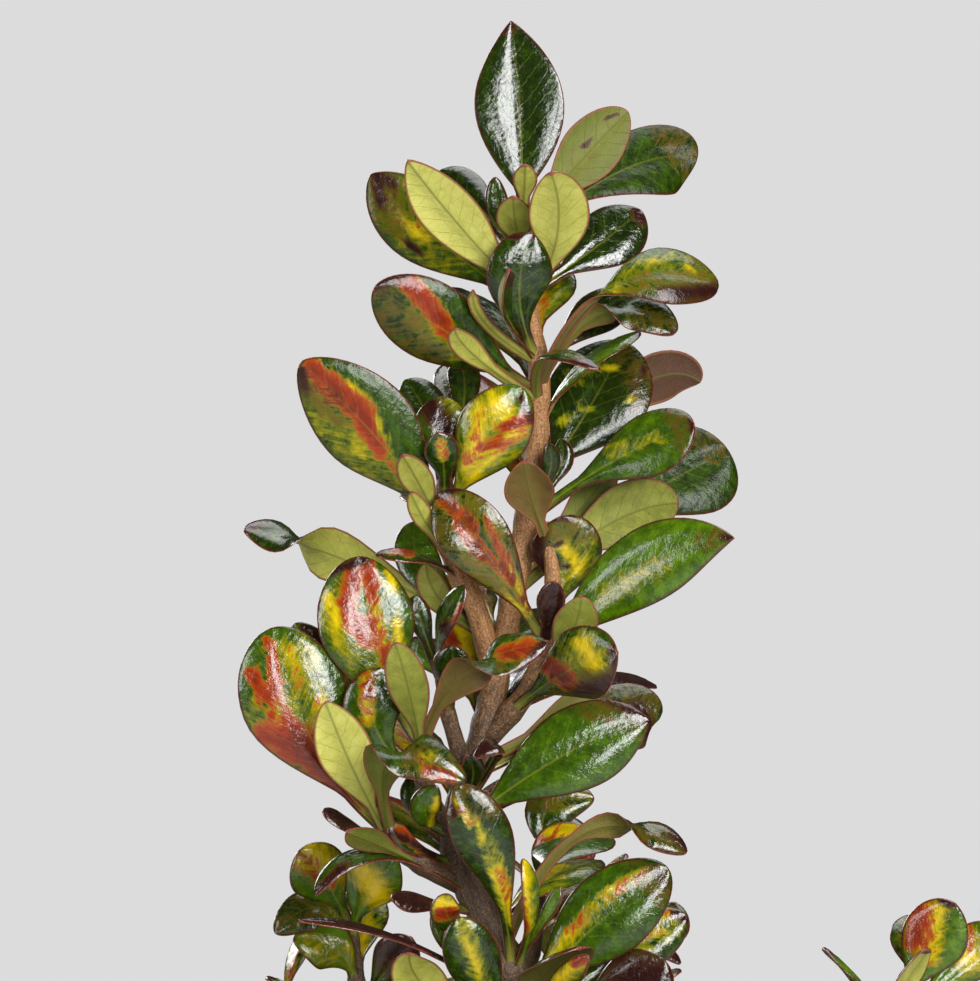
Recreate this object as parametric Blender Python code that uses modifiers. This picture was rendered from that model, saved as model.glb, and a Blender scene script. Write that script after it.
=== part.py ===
"""Potted coprosma: a mirror plant of several woody leafy stems in a clay pot.

Blender units are metres and +Z is up. Lengths below are written in millimetres and
scaled once, where a mesh is made. The origin is the centre of the pot's underside,
+X is to the right of the front view and -Y is the side that the front view looks at.
"""
import math
import random

import bmesh
import bpy
from mathutils import Vector, noise
from mathutils.bvhtree import BVHTree

MM = 0.001
UPWARDS = Vector((0.0, 0.0, 1.0))
QUARTER_TURN = 90.0

# Driving dimensions, in millimetres
GAP = 0.3
WELD_REACH = 0.001
AXIS_REACH = 0.01
POT_HEIGHT = 112.0
POT_TOP_RADIUS = 65.0
POT_BASE_RADIUS = 44.0
POT_WALL = 5.0
POT_FLOOR = 8.0
FLOOR_CORNER = 3.0
RIM_HEIGHT = 22.0
RIM_PROUD = 3.6
LIP_ROUND = 2.0
FOOT_ROUND = 2.0
BAND_STEP = 1.0
DRAIN_RADIUS = 5.0
DRAIN_CIRCLE = 22.0
DRAIN_HOLES = 3
DRILL_SPARE = 2.0
SOIL_LEVEL = 100.0
SOIL_MOUND = 2.5
SOIL_CRUMB = 2.4
SOIL_CRUMB_SCALE = 0.06
SOIL_RING_STEP = 9.0
SOIL_SKIN = 1.0
HOLE_DEPTH = 25.0
HOLE_ABOVE = 12.0
HOLE_SPARE = 0.6
BLADE_THICKNESS = 1.1
PETIOLE_WIDTH = 2.2
LEAF_CLEARANCE = 0.45
TIP_INSET = 1.5

# Shares of a leaf's length: where the petiole ends, and over how much a leaf turns over
PETIOLE_END = 0.1
TURN_SPAN = 0.44
MIDRIB_STEP = 0.02
PETIOLE_FADE = 8.0

# The leader's depths are stretched by this much, and a leaf this far round counts as behind
LEADER_DEPTH = 1.5
LEADER_YOUTH = 0.1
BEHIND = -0.5
LEADER_SEED = 40
PAIR_SEED = 500

# How finely the round shapes are cut
POT_STEPS = 36
CUTTER_SIDES = 12
STEM_RESOLUTION = 1
STEM_SPACING = 11.0

# Where a blade's rings lie between its base (0) and its tip (1)
TURNED_RINGS = (0.10, 0.26, 0.42, 0.56, 0.70, 0.84, 0.95)
LARGE_RINGS = (0.10, 0.34, 0.57, 0.77, 0.93)
MIDDLE_RINGS = (0.12, 0.42, 0.70, 0.90)
SMALL_RINGS = (0.16, 0.55, 0.84)
LARGE_WIDTH = 12.0
SMALL_WIDTH = 7.0


def rings_for(leaf):
    """Wide blades get more rings than narrow ones, and blades that turn over the most."""
    if leaf.turned_over:
        return TURNED_RINGS
    if leaf.width > LARGE_WIDTH:
        return LARGE_RINGS
    return MIDDLE_RINGS if leaf.width > SMALL_WIDTH else SMALL_RINGS


def clear_scene():
    """Removes every object that the file starts with."""
    for item in list(bpy.data.objects):
        bpy.data.objects.remove(item, do_unlink=True)


def new_collection(name):
    collection = bpy.data.collections.new(name)
    bpy.context.scene.collection.children.link(collection)
    return collection


def principled(name, colour, roughness):
    material = bpy.data.materials.new(name)
    material.use_nodes = True
    shader = material.node_tree.nodes["Principled BSDF"]
    shader.inputs["Base Color"].default_value = (*colour, 1.0)
    shader.inputs["Roughness"].default_value = roughness
    shader.inputs["Metallic"].default_value = 0.0
    return material


def new_object(name, mesh, collection):
    item = bpy.data.objects.new(name, mesh)
    collection.objects.link(item)
    return item


def evaluated_mesh(item):
    """A plain mesh of an object with its modifiers or its curve bevel applied."""
    bpy.context.view_layer.update()
    graph = bpy.context.evaluated_depsgraph_get()
    return bpy.data.meshes.new_from_object(item.evaluated_get(graph))


def weld(mesh):
    """Joins points that lie in the same place."""
    bm = bmesh.new()
    bm.from_mesh(mesh)
    bmesh.ops.remove_doubles(bm, verts=bm.verts, dist=WELD_REACH * MM)
    bm.to_mesh(mesh)
    bm.free()


def turned(name, profile, collection):
    """Spins a profile of (radius, height) pairs that starts and ends on the axis."""
    mesh = bpy.data.meshes.new(name)
    bm = bmesh.new()
    points = [bm.verts.new((radius * MM, 0.0, height * MM)) for radius, height in profile]
    for first, second in zip(points, points[1:]):
        bm.edges.new((first, second))
    bm.to_mesh(mesh)
    bm.free()
    item = new_object(name, mesh, collection)
    spin = item.modifiers.new("Turn", "SCREW")
    spin.axis = "Z"
    spin.steps = POT_STEPS
    spin.render_steps = POT_STEPS
    spin.use_merge_vertices = True
    spin.merge_threshold = AXIS_REACH * MM
    return item


def rod_cutter(name, start, end, radius, cutters):
    """A closed rod between two points, used only for cutting."""
    mesh = bpy.data.meshes.new(name)
    bm = bmesh.new()
    bmesh.ops.create_cone(bm, cap_ends=True, segments=CUTTER_SIDES, radius1=radius * MM,
                          radius2=radius * MM, depth=(end - start).length * MM)
    bm.to_mesh(mesh)
    bm.free()
    item = new_object(name, mesh, cutters)
    item.location = (start + end) / 2 * MM
    item.rotation_mode = "QUATERNION"
    item.rotation_quaternion = (end - start).to_track_quat("Z", "Y")
    item.hide_render = True
    item.display_type = "WIRE"
    return item


def cut(item, cutter):
    """Takes the shape of a cutter away from an object."""
    change = item.modifiers.new("Cut " + cutter.name, "BOOLEAN")
    change.operation = "DIFFERENCE"
    change.object = cutter
    change.solver = "EXACT"


# The pot, turned from one profile

def outer_radius(height):
    """The outside radius of the pot's tapering wall, below the rim's band."""
    top = POT_TOP_RADIUS - RIM_PROUD
    return POT_BASE_RADIUS + (top - POT_BASE_RADIUS) * height / POT_HEIGHT


def inner_radius(height):
    return outer_radius(height) - POT_WALL


def make_pot(collection, cutters, material):
    """A tapering wall with a rim band that stands proud, and drain holes in the floor."""
    band = POT_HEIGHT - RIM_HEIGHT
    band_radius = outer_radius(band) + RIM_PROUD
    profile = [
        (0.0, POT_FLOOR),
        (inner_radius(POT_FLOOR) - FLOOR_CORNER, POT_FLOOR),
        (inner_radius(POT_FLOOR + FLOOR_CORNER), POT_FLOOR + FLOOR_CORNER),
        (inner_radius(POT_HEIGHT - LIP_ROUND), POT_HEIGHT - LIP_ROUND),
        (inner_radius(POT_HEIGHT) + LIP_ROUND, POT_HEIGHT),
        (POT_TOP_RADIUS - LIP_ROUND, POT_HEIGHT),
        (POT_TOP_RADIUS, POT_HEIGHT - LIP_ROUND),
        (band_radius, band + LIP_ROUND),
        (band_radius - LIP_ROUND, band),
        (outer_radius(band), band - BAND_STEP),
        (outer_radius(FOOT_ROUND), FOOT_ROUND),
        (outer_radius(0.0) - FOOT_ROUND, 0.0),
        (0.0, 0.0),
    ]
    pot = turned("pot", profile, collection)
    pot.data.materials.append(material)
    for number in range(DRAIN_HOLES):
        angle = math.radians(QUARTER_TURN + 360.0 * number / DRAIN_HOLES)
        centre = Vector((math.cos(angle), math.sin(angle), 0.0)) * DRAIN_CIRCLE
        low = centre - UPWARDS * DRILL_SPARE
        high = centre + UPWARDS * (POT_FLOOR + DRILL_SPARE)
        cut(pot, rod_cutter("drain_%d" % (number + 1), low, high, DRAIN_RADIUS, cutters))


# The soil, which fills the pot and holds a plain hole for each stem

def soil_height(x, y):
    """The crumbly surface: low mounds, higher in the middle than at the wall."""
    middle = 1.0 - math.hypot(x, y) / inner_radius(SOIL_LEVEL)
    crumb = noise.noise(Vector((x, y, 0.0)) * SOIL_CRUMB_SCALE)
    return SOIL_LEVEL + SOIL_CRUMB * crumb + SOIL_MOUND * middle


def make_soil(collection, cutters, material, feet):
    """Fills the pot but for the gap, and leaves room for the foot of each stem."""
    wall = inner_radius(SOIL_LEVEL) - GAP
    rings = round(wall / SOIL_RING_STEP)
    floor = POT_FLOOR + GAP
    profile = [(wall * number / rings, SOIL_LEVEL) for number in range(rings + 1)]
    profile += [
        (inner_radius(floor + FLOOR_CORNER) - GAP, floor + FLOOR_CORNER),
        (inner_radius(floor) - FLOOR_CORNER - GAP, floor),
        (0.0, floor),
    ]
    shape = turned("soil_shape", profile, collection)
    mesh = evaluated_mesh(shape)
    bpy.data.objects.remove(shape, do_unlink=True)
    for vertex in mesh.vertices:
        if vertex.co.z > (SOIL_LEVEL - SOIL_SKIN) * MM:
            vertex.co.z = soil_height(vertex.co.x / MM, vertex.co.y / MM) * MM
    weld(mesh)
    mesh.name = "soil"
    mesh.materials.clear()
    mesh.materials.append(material)
    soil = new_object("soil", mesh, collection)
    for name, path in feet.items():
        rise = (path[1].xyz - path[0].xyz).normalized()
        low = path[0].xyz - rise * GAP
        high = low + rise * (HOLE_DEPTH + HOLE_ABOVE)
        cut(soil, rod_cutter("hole_" + name, low, high, path[0].w + HOLE_SPARE, cutters))


# Stems: smooth paths of (x, y, z, radius), made round

def smooth_path(points):
    """Even steps along a smooth curve through the given points."""
    rows = [Vector(row) for row in points]
    rows = [rows[0] * 2 - rows[1], *rows, rows[-1] * 2 - rows[-2]]
    path = []
    for a, b, c, d in zip(rows, rows[1:], rows[2:], rows[3:]):
        steps = max(1, round((c.xyz - b.xyz).length / STEM_SPACING))
        for step in range(steps):
            t = step / steps
            bend = (2 * a - 5 * b + 4 * c - d) * t ** 2 + (3 * b - a - 3 * c + d) * t ** 3
            path.append((2 * b + (c - a) * t + bend) / 2)
    path.append(rows[-2])
    return path


def planted(points):
    """A path that starts with a straight foot, sunk into the soil."""
    path = smooth_path(points)
    rise = (path[1].xyz - path[0].xyz).normalized()
    foot = path[0].xyz - rise * HOLE_DEPTH
    return [Vector((*foot, path[0].w)), *path]


def at_height(path, height):
    """The place on a rising path at a height."""
    for low, high in zip(path, path[1:]):
        if low.z <= height <= high.z:
            return low.lerp(high, (height - low.z) / (high.z - low.z)).xyz
    return path[-1].xyz


def tube_mesh(name, path, collection):
    """A closed round stem along a path whose rows carry the radius."""
    curve = bpy.data.curves.new(name, "CURVE")
    curve.dimensions = "3D"
    curve.bevel_depth = MM
    curve.bevel_resolution = STEM_RESOLUTION
    curve.use_fill_caps = True
    line = curve.splines.new("POLY")
    line.points.add(len(path) - 1)
    for point, row in zip(line.points, path):
        point.co = (row.x * MM, row.y * MM, row.z * MM, 1.0)
        point.radius = row.w
    guide = new_object(name, curve, collection)
    mesh = evaluated_mesh(guide)
    bpy.data.objects.remove(guide, do_unlink=True)
    weld(mesh)
    return mesh


# Leaves

def compass(azimuth, elevation):
    """A direction: azimuth 0 is to the front (-Y), 90 to the right (+X), 180 to the back."""
    a, e = math.radians(azimuth), math.radians(elevation)
    return Vector((math.sin(a) * math.cos(e), -math.cos(a) * math.cos(e), math.sin(e)))


class Leaf:
    """A blade along a bent midrib. `faces` is where its upper side looks, as a compass pair.

    A leaf that turns over also has `tip_faces`, and `turn_at` is where along it that happens.
    `wide` is the share of the blade with the greatest width. `blunt` and `slender` are powers
    that shape the blade beyond and before it. `trough` lowers both edges, or raises them.
    """

    def __init__(self, base, middle, tip, width, faces, tip_faces=None, turn_at=0.5, wide=0.62,
                 blunt=0.55, slender=1.1, trough=-0.1):
        self.base, self.middle, self.tip = Vector(base), Vector(middle), Vector(tip)
        self.width = width
        self.faces = compass(*faces)
        self.tip_faces = compass(*(tip_faces or faces))
        self.turned_over = tip_faces is not None
        self.turn_at = turn_at
        self.wide = wide
        self.blunt = blunt
        self.slender = slender
        self.trough = trough

    def midrib(self, t):
        control = self.middle * 2 - (self.base + self.tip) / 2
        return self.base * (1 - t) ** 2 + control * (2 * t * (1 - t)) + self.tip * t ** 2

    def half_width(self, t):
        """A narrow petiole, then an outline that is widest at the share `wide` of the blade."""
        petiole = PETIOLE_WIDTH / 2 * min(1.0, (1.0 - t) * PETIOLE_FADE)
        share = max(0.0, (t - PETIOLE_END) / (1.0 - PETIOLE_END))
        share **= math.log(0.5) / math.log(self.wide)
        power = self.blunt if share > 0.5 else self.slender
        return max(petiole, self.width / 2 * max(0.0, math.sin(math.pi * share)) ** power)

    def directions(self, t):
        """The blade's sideways direction and its upper normal at t."""
        along = self.midrib(min(t + MIDRIB_STEP, 1.0)) - self.midrib(max(t - MIDRIB_STEP, 0.0))
        turn = min(max((t - self.turn_at) / TURN_SPAN + 0.5, 0.0), 1.0)
        facing = self.faces.lerp(self.tip_faces, turn * turn * (3 - 2 * turn))
        side = along.cross(facing).normalized()
        return side, side.cross(along).normalized()


def blade(leaf, thickness=BLADE_THICKNESS, spare=0.0):
    """A sphere of four meridians, reshaped: two edges, the upper face and the underside."""
    rings = rings_for(leaf)
    bm = bmesh.new()
    count = len(rings) + 1
    places = (0.0, *rings, 1.0)
    bmesh.ops.create_uvsphere(bm, u_segments=4, v_segments=count, radius=1.0)
    rank = {}
    for vertex in bm.verts:
        reach = math.hypot(vertex.co.x, vertex.co.y)
        ring = round((1.0 - math.atan2(reach, vertex.co.z) / math.pi) * count)
        across, above = 0, 0
        if 0 < ring < count:
            across, above = round(vertex.co.x / reach), -round(vertex.co.y / reach)
        rank[vertex] = (ring, above != 0)
        side, up = leaf.directions(places[ring])
        half = leaf.half_width(places[ring]) + spare
        place = leaf.midrib(places[ring]) + side * (across * half)
        vertex.co = place + up * (above * thickness / 2 + abs(across) * leaf.trough * half)
    for face in [face for face in bm.faces if len(face.verts) == 4]:
        corners = list(face.verts)
        start = min(corners, key=rank.get)
        bmesh.utils.face_split(face, start, corners[(corners.index(start) + 2) % 4])
    return bm, rank


def mesh_faces(mesh):
    """A mesh's corners in millimetres, and its faces."""
    corners = [vertex.co / MM for vertex in mesh.vertices]
    return corners, [tuple(face.vertices) for face in mesh.polygons]


class Crowd:
    """Remembers where stems and blades are, so that the leaves of two stems stay apart."""

    def __init__(self):
        self.taken = []

    def add(self, node, kind, corners, faces):
        lows = [min(corner[axis] for corner in corners) for axis in range(3)]
        highs = [max(corner[axis] for corner in corners) for axis in range(3)]
        self.taken.append((node, kind, lows, highs, BVHTree.FromPolygons(corners, faces)))

    def add_stem(self, node, mesh):
        self.add(node, "stem", *mesh_faces(mesh))

    def add_leaf(self, node, leaf):
        self.add(node, "leaf", *self.blade_faces(leaf, BLADE_THICKNESS, 0.0))

    def blade_faces(self, leaf, thickness, spare):
        """The blade without its root, which is meant to be inside its own stem."""
        bm, rank = blade(leaf, thickness, spare)
        bm.verts.ensure_lookup_table()
        bm.verts.index_update()
        corners = [vertex.co.copy() for vertex in bm.verts]
        faces = [tuple(vertex.index for vertex in face.verts) for face in bm.faces
                 if min(rank.get(vertex, (1, 0))[0] for vertex in face.verts) > 0]
        bm.free()
        return corners, faces

    def is_free(self, node, corners, faces, among_own=False):
        """Whether faces cross nothing of another node, nor leaves of their own node."""
        tree = BVHTree.FromPolygons(corners, faces)
        lows = [min(corner[axis] for corner in corners) for axis in range(3)]
        highs = [max(corner[axis] for corner in corners) for axis in range(3)]
        for other, kind, low, high, taken in self.taken:
            if other == node and not (among_own and kind == "leaf"):
                continue
            if all(lows[axis] <= high[axis] and low[axis] <= highs[axis] for axis in range(3)):
                if tree.overlap(taken):
                    return False
        return True

    def has_room(self, node, leaf):
        thickness = BLADE_THICKNESS + 2 * LEAF_CLEARANCE
        return self.is_free(node, *self.blade_faces(leaf, thickness, LEAF_CLEARANCE), True)


# The leader, whose leaves are placed one by one after the plant

LEADER_STEMS = {
    "trunk": [(3.6, 0.0, 101.0, 3.0), (5.5, 0.5, 128.0, 2.9), (5.0, 0.0, 150.0, 2.8),
              (4.0, 0.0, 176.0, 2.6), (-1.0, 0.0, 187.0, 2.5), (-6.3, 0.0, 198.0, 2.4),
              (-4.8, 0.0, 210.0, 2.3), (-1.0, 0.0, 221.0, 2.3), (2.0, 0.0, 234.0, 2.2),
              (5.0, 0.5, 250.0, 2.1), (8.0, 1.0, 268.0, 2.0), (8.8, 0.5, 285.0, 1.7),
              (6.8, 0.0, 299.0, 1.4), (5.5, 0.0, 316.0, 1.1)],
    "left_branch": [(0.8, 0.0, 229.0, 1.9), (-2.0, -2.5, 241.0, 2.0), (-5.5, -4.0, 249.5, 2.0),
                    (-8.5, -4.5, 257.0, 1.8), (-8.0, -4.0, 266.0, 1.3)],
    "right_branch": [(-1.5, 0.0, 218.0, 2.0), (3.0, -2.0, 223.0, 2.0), (7.5, -4.5, 229.0, 1.9),
                     (10.5, -5.0, 237.0, 1.8), (11.2, -5.0, 247.0, 1.5), (10.2, -3.5, 258.0, 1.1)],
    "low_left_twig": [(-5.5, 0.0, 193.0, 1.9), (-11.0, -4.0, 196.0, 1.8),
                      (-16.5, -6.5, 200.0, 1.6), (-20.5, -8.0, 205.5, 1.2)],
    "mid_left_twig": [(-5.8, 0.0, 201.0, 1.8), (-10.0, -4.0, 207.0, 1.7),
                      (-12.0, -7.0, 213.0, 1.5), (-12.3, -8.5, 219.5, 1.1)],
    "inner_twig": [(-4.0, 0.0, 212.0, 1.6), (-6.5, -3.0, 220.0, 1.5), (-8.5, -4.0, 228.0, 1.1),
                   (-9.0, -4.0, 232.0, 0.9)],
    "back_twig": [(-1.0, 0.0, 222.0, 1.7), (-2.0, 9.0, 233.0, 1.6), (-2.0, 14.0, 246.0, 1.1)],
    "low_back_twig": [(4.0, 0.0, 172.0, 1.7), (8.0, 10.0, 182.0, 1.5), (9.0, 15.0, 194.0, 1.0)],
}

# Stem, height on it, middle, tip, width, where the upper side looks, and what is unusual
LEADER_LEAVES = [
    ("trunk", 313, (5.4, 1.5, 331.0), (3.8, 3.0, 348.5), 16.2, (0, 5),
     dict(wide=0.5, blunt=0.85, slender=0.9, trough=0.12)),
    ("trunk", 310, (15.0, 5.0, 322.0), (25.0, 8.0, 332.6), 11.0, (180, 20), {}),
    ("trunk", 309, (24.5, 9.0, 322.0), (37.8, 12.0, 324.0), 15.0, (-25, 12), dict(blunt=0.5)),
    ("trunk", 299, (19.0, 3.0, 307.5), (27.3, 6.0, 314.5), 11.8, (-14, 4), dict(blunt=0.6)),
    ("trunk", 312, (6.2, -2.0, 318.0), (6.3, -4.0, 322.0), 4.5, (180, 20), {}),
    ("trunk", 306, (4.6, -4.0, 311.5), (4.2, -8.0, 316.0), 6.8, (180, 25), dict(wide=0.55)),
    ("trunk", 307, (2.0, -1.0, 313.0), (1.0, -1.5, 320.0), 4.2, (0, 5), {}),
    ("trunk", 297, (12.0, -6.0, 309.5), (10.8, -13.0, 320.0), 11.0, (180, 25), dict(blunt=0.5)),
    ("trunk", 298, (-5.2, -6.0, 311.0), (-14.6, -12.0, 322.3), 10.8, (175, 25),
     dict(wide=0.55, blunt=0.75, slender=0.9)),
    ("trunk", 297, (-9.0, 2.0, 308.5), (-21.5, 3.0, 320.8), 13.4, (-22, 20),
     dict(blunt=0.65, slender=0.9)),
    ("trunk", 305, (-3.0, 6.0, 316.0), (-9.5, 10.0, 321.5), 9.0, (-5, 25), {}),
    ("trunk", 287, (5.2, -6.0, 298.5), (7.6, -6.5, 309.5), 12.0, (10, 12), dict(blunt=0.5)),
    ("trunk", 288, (2.3, -7.0, 296.0), (3.6, -12.0, 302.8), 5.5, (50, 10), dict(trough=0.5)),
    ("trunk", 287, (-0.6, -4.0, 293.5), (-3.0, -7.0, 299.5), 2.4, (180, 20), {}),
    ("trunk", 281, (-6.0, -4.0, 291.0), (-20.7, -8.0, 299.8), 14.4, (-24, 8), dict(slender=0.9)),
    ("trunk", 280, (-2.2, -6.0, 287.5), (-6.2, -10.0, 292.5), 5.0, (180, 20), {}),
    ("trunk", 282, (21.5, -8.0, 299.8), (40.8, -4.0, 300.6), 12.5, (180, 30),
     dict(tip_faces=(5, 35), turn_at=0.42, wide=0.76, blunt=0.45)),
    ("trunk", 283, (20.5, -3.0, 295.8), (33.2, -5.0, 291.8), 9.0, (180, 35),
     dict(tip_faces=(5, 35), turn_at=0.58, wide=0.66, blunt=0.45)),
    ("trunk", 284, (17.0, 4.0, 294.0), (26.0, 7.0, 299.0), 8.5, (0, 20), {}),
    ("trunk", 280, (10.0, -9.0, 287.6), (19.5, -14.0, 285.0), 5.0, (0, 60), {}),
    ("trunk", 263, (17.0, 5.0, 277.0), (24.6, 9.0, 290.8), 19.0, (-14, -2), dict(blunt=0.5)),
    ("trunk", 262, (26.0, 11.0, 282.0), (38.6, 16.0, 283.6), 9.5, (180, 15), {}),
    ("trunk", 258, (22.0, -2.0, 268.8), (36.6, -5.0, 275.2), 13.2, (10, 30),
     dict(wide=0.7, blunt=0.5)),
    ("trunk", 252, (29.5, 11.0, 263.6), (43.4, 15.0, 271.5), 18.2, (-22, 0),
     dict(wide=0.7, blunt=0.5)),
    ("trunk", 245, (21.0, 3.0, 257.5), (34.0, 2.0, 261.5), 12.0, (180, 10), dict(blunt=0.5)),
    ("right_branch", 233, (26.0, -8.0, 249.5), (43.3, -12.0, 255.3), 14.0, (-12, 12),
     dict(wide=0.5, blunt=0.85, slender=0.9)),
    ("right_branch", 240, (13.6, -3.0, 250.0), (12.4, -4.0, 259.0), 13.0, (0, 5), dict(blunt=0.5)),
    ("trunk", 250, (16.0, 5.0, 260.0), (22.0, 8.0, 268.5), 7.0, (180, 10), {}),
    ("right_branch", 254, (7.6, -6.0, 262.0), (6.0, -10.0, 269.0), 9.0, (180, 20),
     dict(trough=-0.35)),
    ("trunk", 260, (10.6, -1.5, 267.0), (10.0, -3.0, 272.0), 4.2, (20, 10), {}),
    ("trunk", 261, (12.4, 1.0, 267.5), (12.6, 2.0, 273.0), 4.2, (0, 5), {}),
    ("right_branch", 235, (10.5, -7.0, 242.0), (11.6, -9.0, 247.5), 5.2, (0, 5), {}),
    ("right_branch", 230, (14.0, -8.5, 237.5), (16.2, -12.0, 245.0), 8.0, (178, 20), {}),
    ("right_branch", 236, (0.2, -9.0, 251.5), (-9.4, -8.0, 263.0), 12.4, (-8, 5),
     dict(slender=0.9, trough=0.1)),
    ("left_branch", 259, (-1.8, -7.5, 270.5), (5.8, -8.0, 282.0), 13.2, (2, 6), dict(blunt=0.5)),
    ("left_branch", 255, (-17.5, -5.0, 270.0), (-33.8, -7.0, 286.6), 17.2, (-24, 6),
     dict(blunt=0.6)),
    ("left_branch", 263, (-11.0, 2.0, 276.0), (-15.5, 6.0, 283.5), 9.0, (0, 15), {}),
    ("left_branch", 263, (-8.6, -3.0, 272.5), (-8.2, -2.0, 280.5), 10.0, (0, 8), dict(blunt=0.5)),
    ("left_branch", 262, (-8.3, -7.0, 268.5), (-9.5, -9.0, 274.0), 6.3, (0, 0), {}),
    ("left_branch", 256, (-12.0, -8.0, 264.0), (-15.4, -13.0, 270.0), 6.0, (180, 25), {}),
    ("left_branch", 264, (-4.6, 3.0, 281.0), (-6.8, 6.0, 288.0), 6.0, (0, 15), {}),
    ("left_branch", 250, (-11.0, -7.0, 257.5), (-14.0, -10.0, 263.5), 4.0, (180, 20), {}),
    ("trunk", 236, (-25.0, 6.0, 250.8), (-44.6, 6.0, 256.5), 11.5, (180, 20),
     dict(tip_faces=(-10, 48), turn_at=0.7)),
    ("left_branch", 248, (-13.0, -6.0, 251.8), (-20.4, -7.0, 252.2), 5.0, (0, 62), {}),
    ("trunk", 238, (-11.0, 3.0, 248.0), (-13.5, 6.0, 258.0), 8.0, (0, 15), {}),
    ("trunk", 236, (-8.0, 1.5, 243.0), (-11.6, 3.0, 250.5), 5.5, (180, 10), {}),
    ("mid_left_twig", 218, (-20.5, -8.0, 234.5), (-23.0, -7.0, 252.0), 17.4, (4, 6),
     dict(blunt=0.5)),
    ("low_left_twig", 203, (-31.5, -8.5, 219.0), (-38.0, -8.0, 239.5), 19.4, (-2, 6),
     dict(wide=0.66, blunt=0.5)),
    ("mid_left_twig", 213, (-27.0, -3.0, 227.0), (-34.8, -2.0, 240.0), 10.5, (-10, 10), {}),
    ("mid_left_twig", 212, (-20.3, -10.0, 221.5), (-18.8, -10.0, 232.0), 10.4, (5, 0),
     dict(blunt=0.5)),
    ("low_left_twig", 203, (-24.0, -12.0, 214.0), (-29.0, -15.0, 226.5), 10.0, (180, 20),
     dict(blunt=0.65, slender=0.9)),
    ("mid_left_twig", 216, (-13.8, -13.0, 226.5), (-16.6, -18.0, 237.0), 7.5, (178, 20),
     dict(slender=0.9)),
    ("mid_left_twig", 217, (-4.8, -13.0, 230.8), (10.2, -15.0, 236.6), 9.5, (180, 15),
     dict(tip_faces=(5, 35), turn_at=0.62, blunt=0.5)),
    ("right_branch", 224, (13.2, -12.0, 231.4), (22.4, -18.0, 235.2), 13.4, (10, 8),
     dict(blunt=0.5)),
    ("inner_twig", 224, (-6.9, -8.0, 230.5), (-6.5, -10.0, 236.2), 7.0, (0, 5), {}),
    ("trunk", 226, (-4.4, 4.0, 235.0), (-5.0, 8.0, 241.0), 7.5, (0, 20), {}),
    ("inner_twig", 231, (-8.5, -7.0, 239.5), (-4.3, -9.0, 246.8), 6.0, (-10, 45), {}),
    ("inner_twig", 230, (-12.0, -4.0, 239.0), (-13.4, -4.0, 245.0), 4.4, (0, 10), {}),
    ("low_left_twig", 201, (-17.6, -18.0, 216.8), (-4.2, -21.0, 212.8), 10.5, (180, 10),
     dict(tip_faces=(0, 30), turn_at=0.6, wide=0.56, blunt=0.5)),
    ("trunk", 203, (12.8, -2.0, 216.0), (28.6, -1.0, 222.5), 15.5, (8, 15),
     dict(wide=0.56, blunt=0.7, slender=0.9)),
    ("trunk", 212, (20.0, 5.0, 222.0), (30.5, 8.0, 222.0), 13.5, (0, 25), {}),
    ("trunk", 214, (12.0, 1.0, 222.0), (19.3, 2.0, 227.0), 7.5, (180, 10), {}),
    ("trunk", 206, (1.3, -6.0, 217.5), (-3.0, -8.0, 216.0), 4.6, (0, 35), {}),
    ("trunk", 208, (-3.0, -3.5, 212.5), (-4.2, -6.0, 216.5), 4.4, (0, 10), {}),
    ("trunk", 176, (0.9, -8.0, 196.0), (-6.4, -9.5, 211.4), 10.8, (-3, 5),
     dict(wide=0.66, blunt=0.6)),
    ("trunk", 176, (7.4, -5.0, 188.0), (5.8, -6.0, 198.0), 4.4, (40, 5), {}),
    ("mid_left_twig", 202, (-11.4, -5.0, 205.5), (-9.3, -7.0, 211.0), 6.0, (0, 5), {}),
    ("mid_left_twig", 202, (-13.2, -2.0, 207.0), (-13.4, -1.0, 213.0), 4.5, (-10, 5), {}),
    ("trunk", 196, (-13.5, -5.0, 200.2), (-17.8, -7.0, 204.5), 4.6, (-5, 35), {}),
    ("low_left_twig", 199, (-24.0, -7.5, 203.5), (-29.7, -9.0, 207.0), 4.4, (-10, 50), {}),
    ("low_left_twig", 197, (-20.0, -9.0, 201.0), (-25.3, -13.0, 203.4), 6.0, (180, 30), {}),
    ("trunk", 191, (-20.5, -7.0, 199.0), (-31.0, -10.0, 191.8), 5.0, (0, 55), {}),
    ("trunk", 188, (-12.0, -3.0, 189.8), (-17.6, -5.0, 190.8), 4.6, (-5, 35), {}),
    ("trunk", 185, (-6.9, -7.0, 187.0), (-7.1, -9.5, 192.0), 6.0, (0, 5), dict(blunt=0.5)),
    ("trunk", 172, (-16.5, -7.0, 183.8), (-34.0, -10.0, 187.3), 4.4, (0, 72), {}),
    ("trunk", 163, (-10.0, -8.0, 174.0), (-14.2, -14.0, 182.0), 9.0, (180, 20), {}),
    ("trunk", 161, (-1.5, -7.0, 176.5), (-5.8, -9.0, 187.8), 10.0, (0, 5), {}),
    ("trunk", 174, (-6.0, -4.5, 181.0), (-10.2, -5.0, 188.5), 3.0, (0, 20), {}),
    ("trunk", 170, (17.0, -3.0, 184.0), (32.0, -2.5, 196.0), 15.2, (8, 15),
     dict(blunt=0.5, slender=0.9)),
    ("trunk", 180, (16.5, -3.0, 202.3), (35.2, -4.0, 198.8), 7.8, (180, 20),
     dict(tip_faces=(0, 45), turn_at=0.74, wide=0.76)),
    ("trunk", 166, (23.0, 2.0, 179.0), (35.5, 4.0, 187.0), 10.0, (5, 20), {}),
    ("trunk", 168, (22.0, 4.0, 181.0), (34.5, 5.0, 178.0), 5.0, (0, 50), {}),
    ("trunk", 160, (22.0, -3.0, 172.0), (31.0, -4.0, 180.0), 13.0, (0, 20), {}),
    ("trunk", 165, (11.0, -9.0, 174.0), (17.4, -14.0, 181.5), 5.0, (0, 15), {}),
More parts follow.
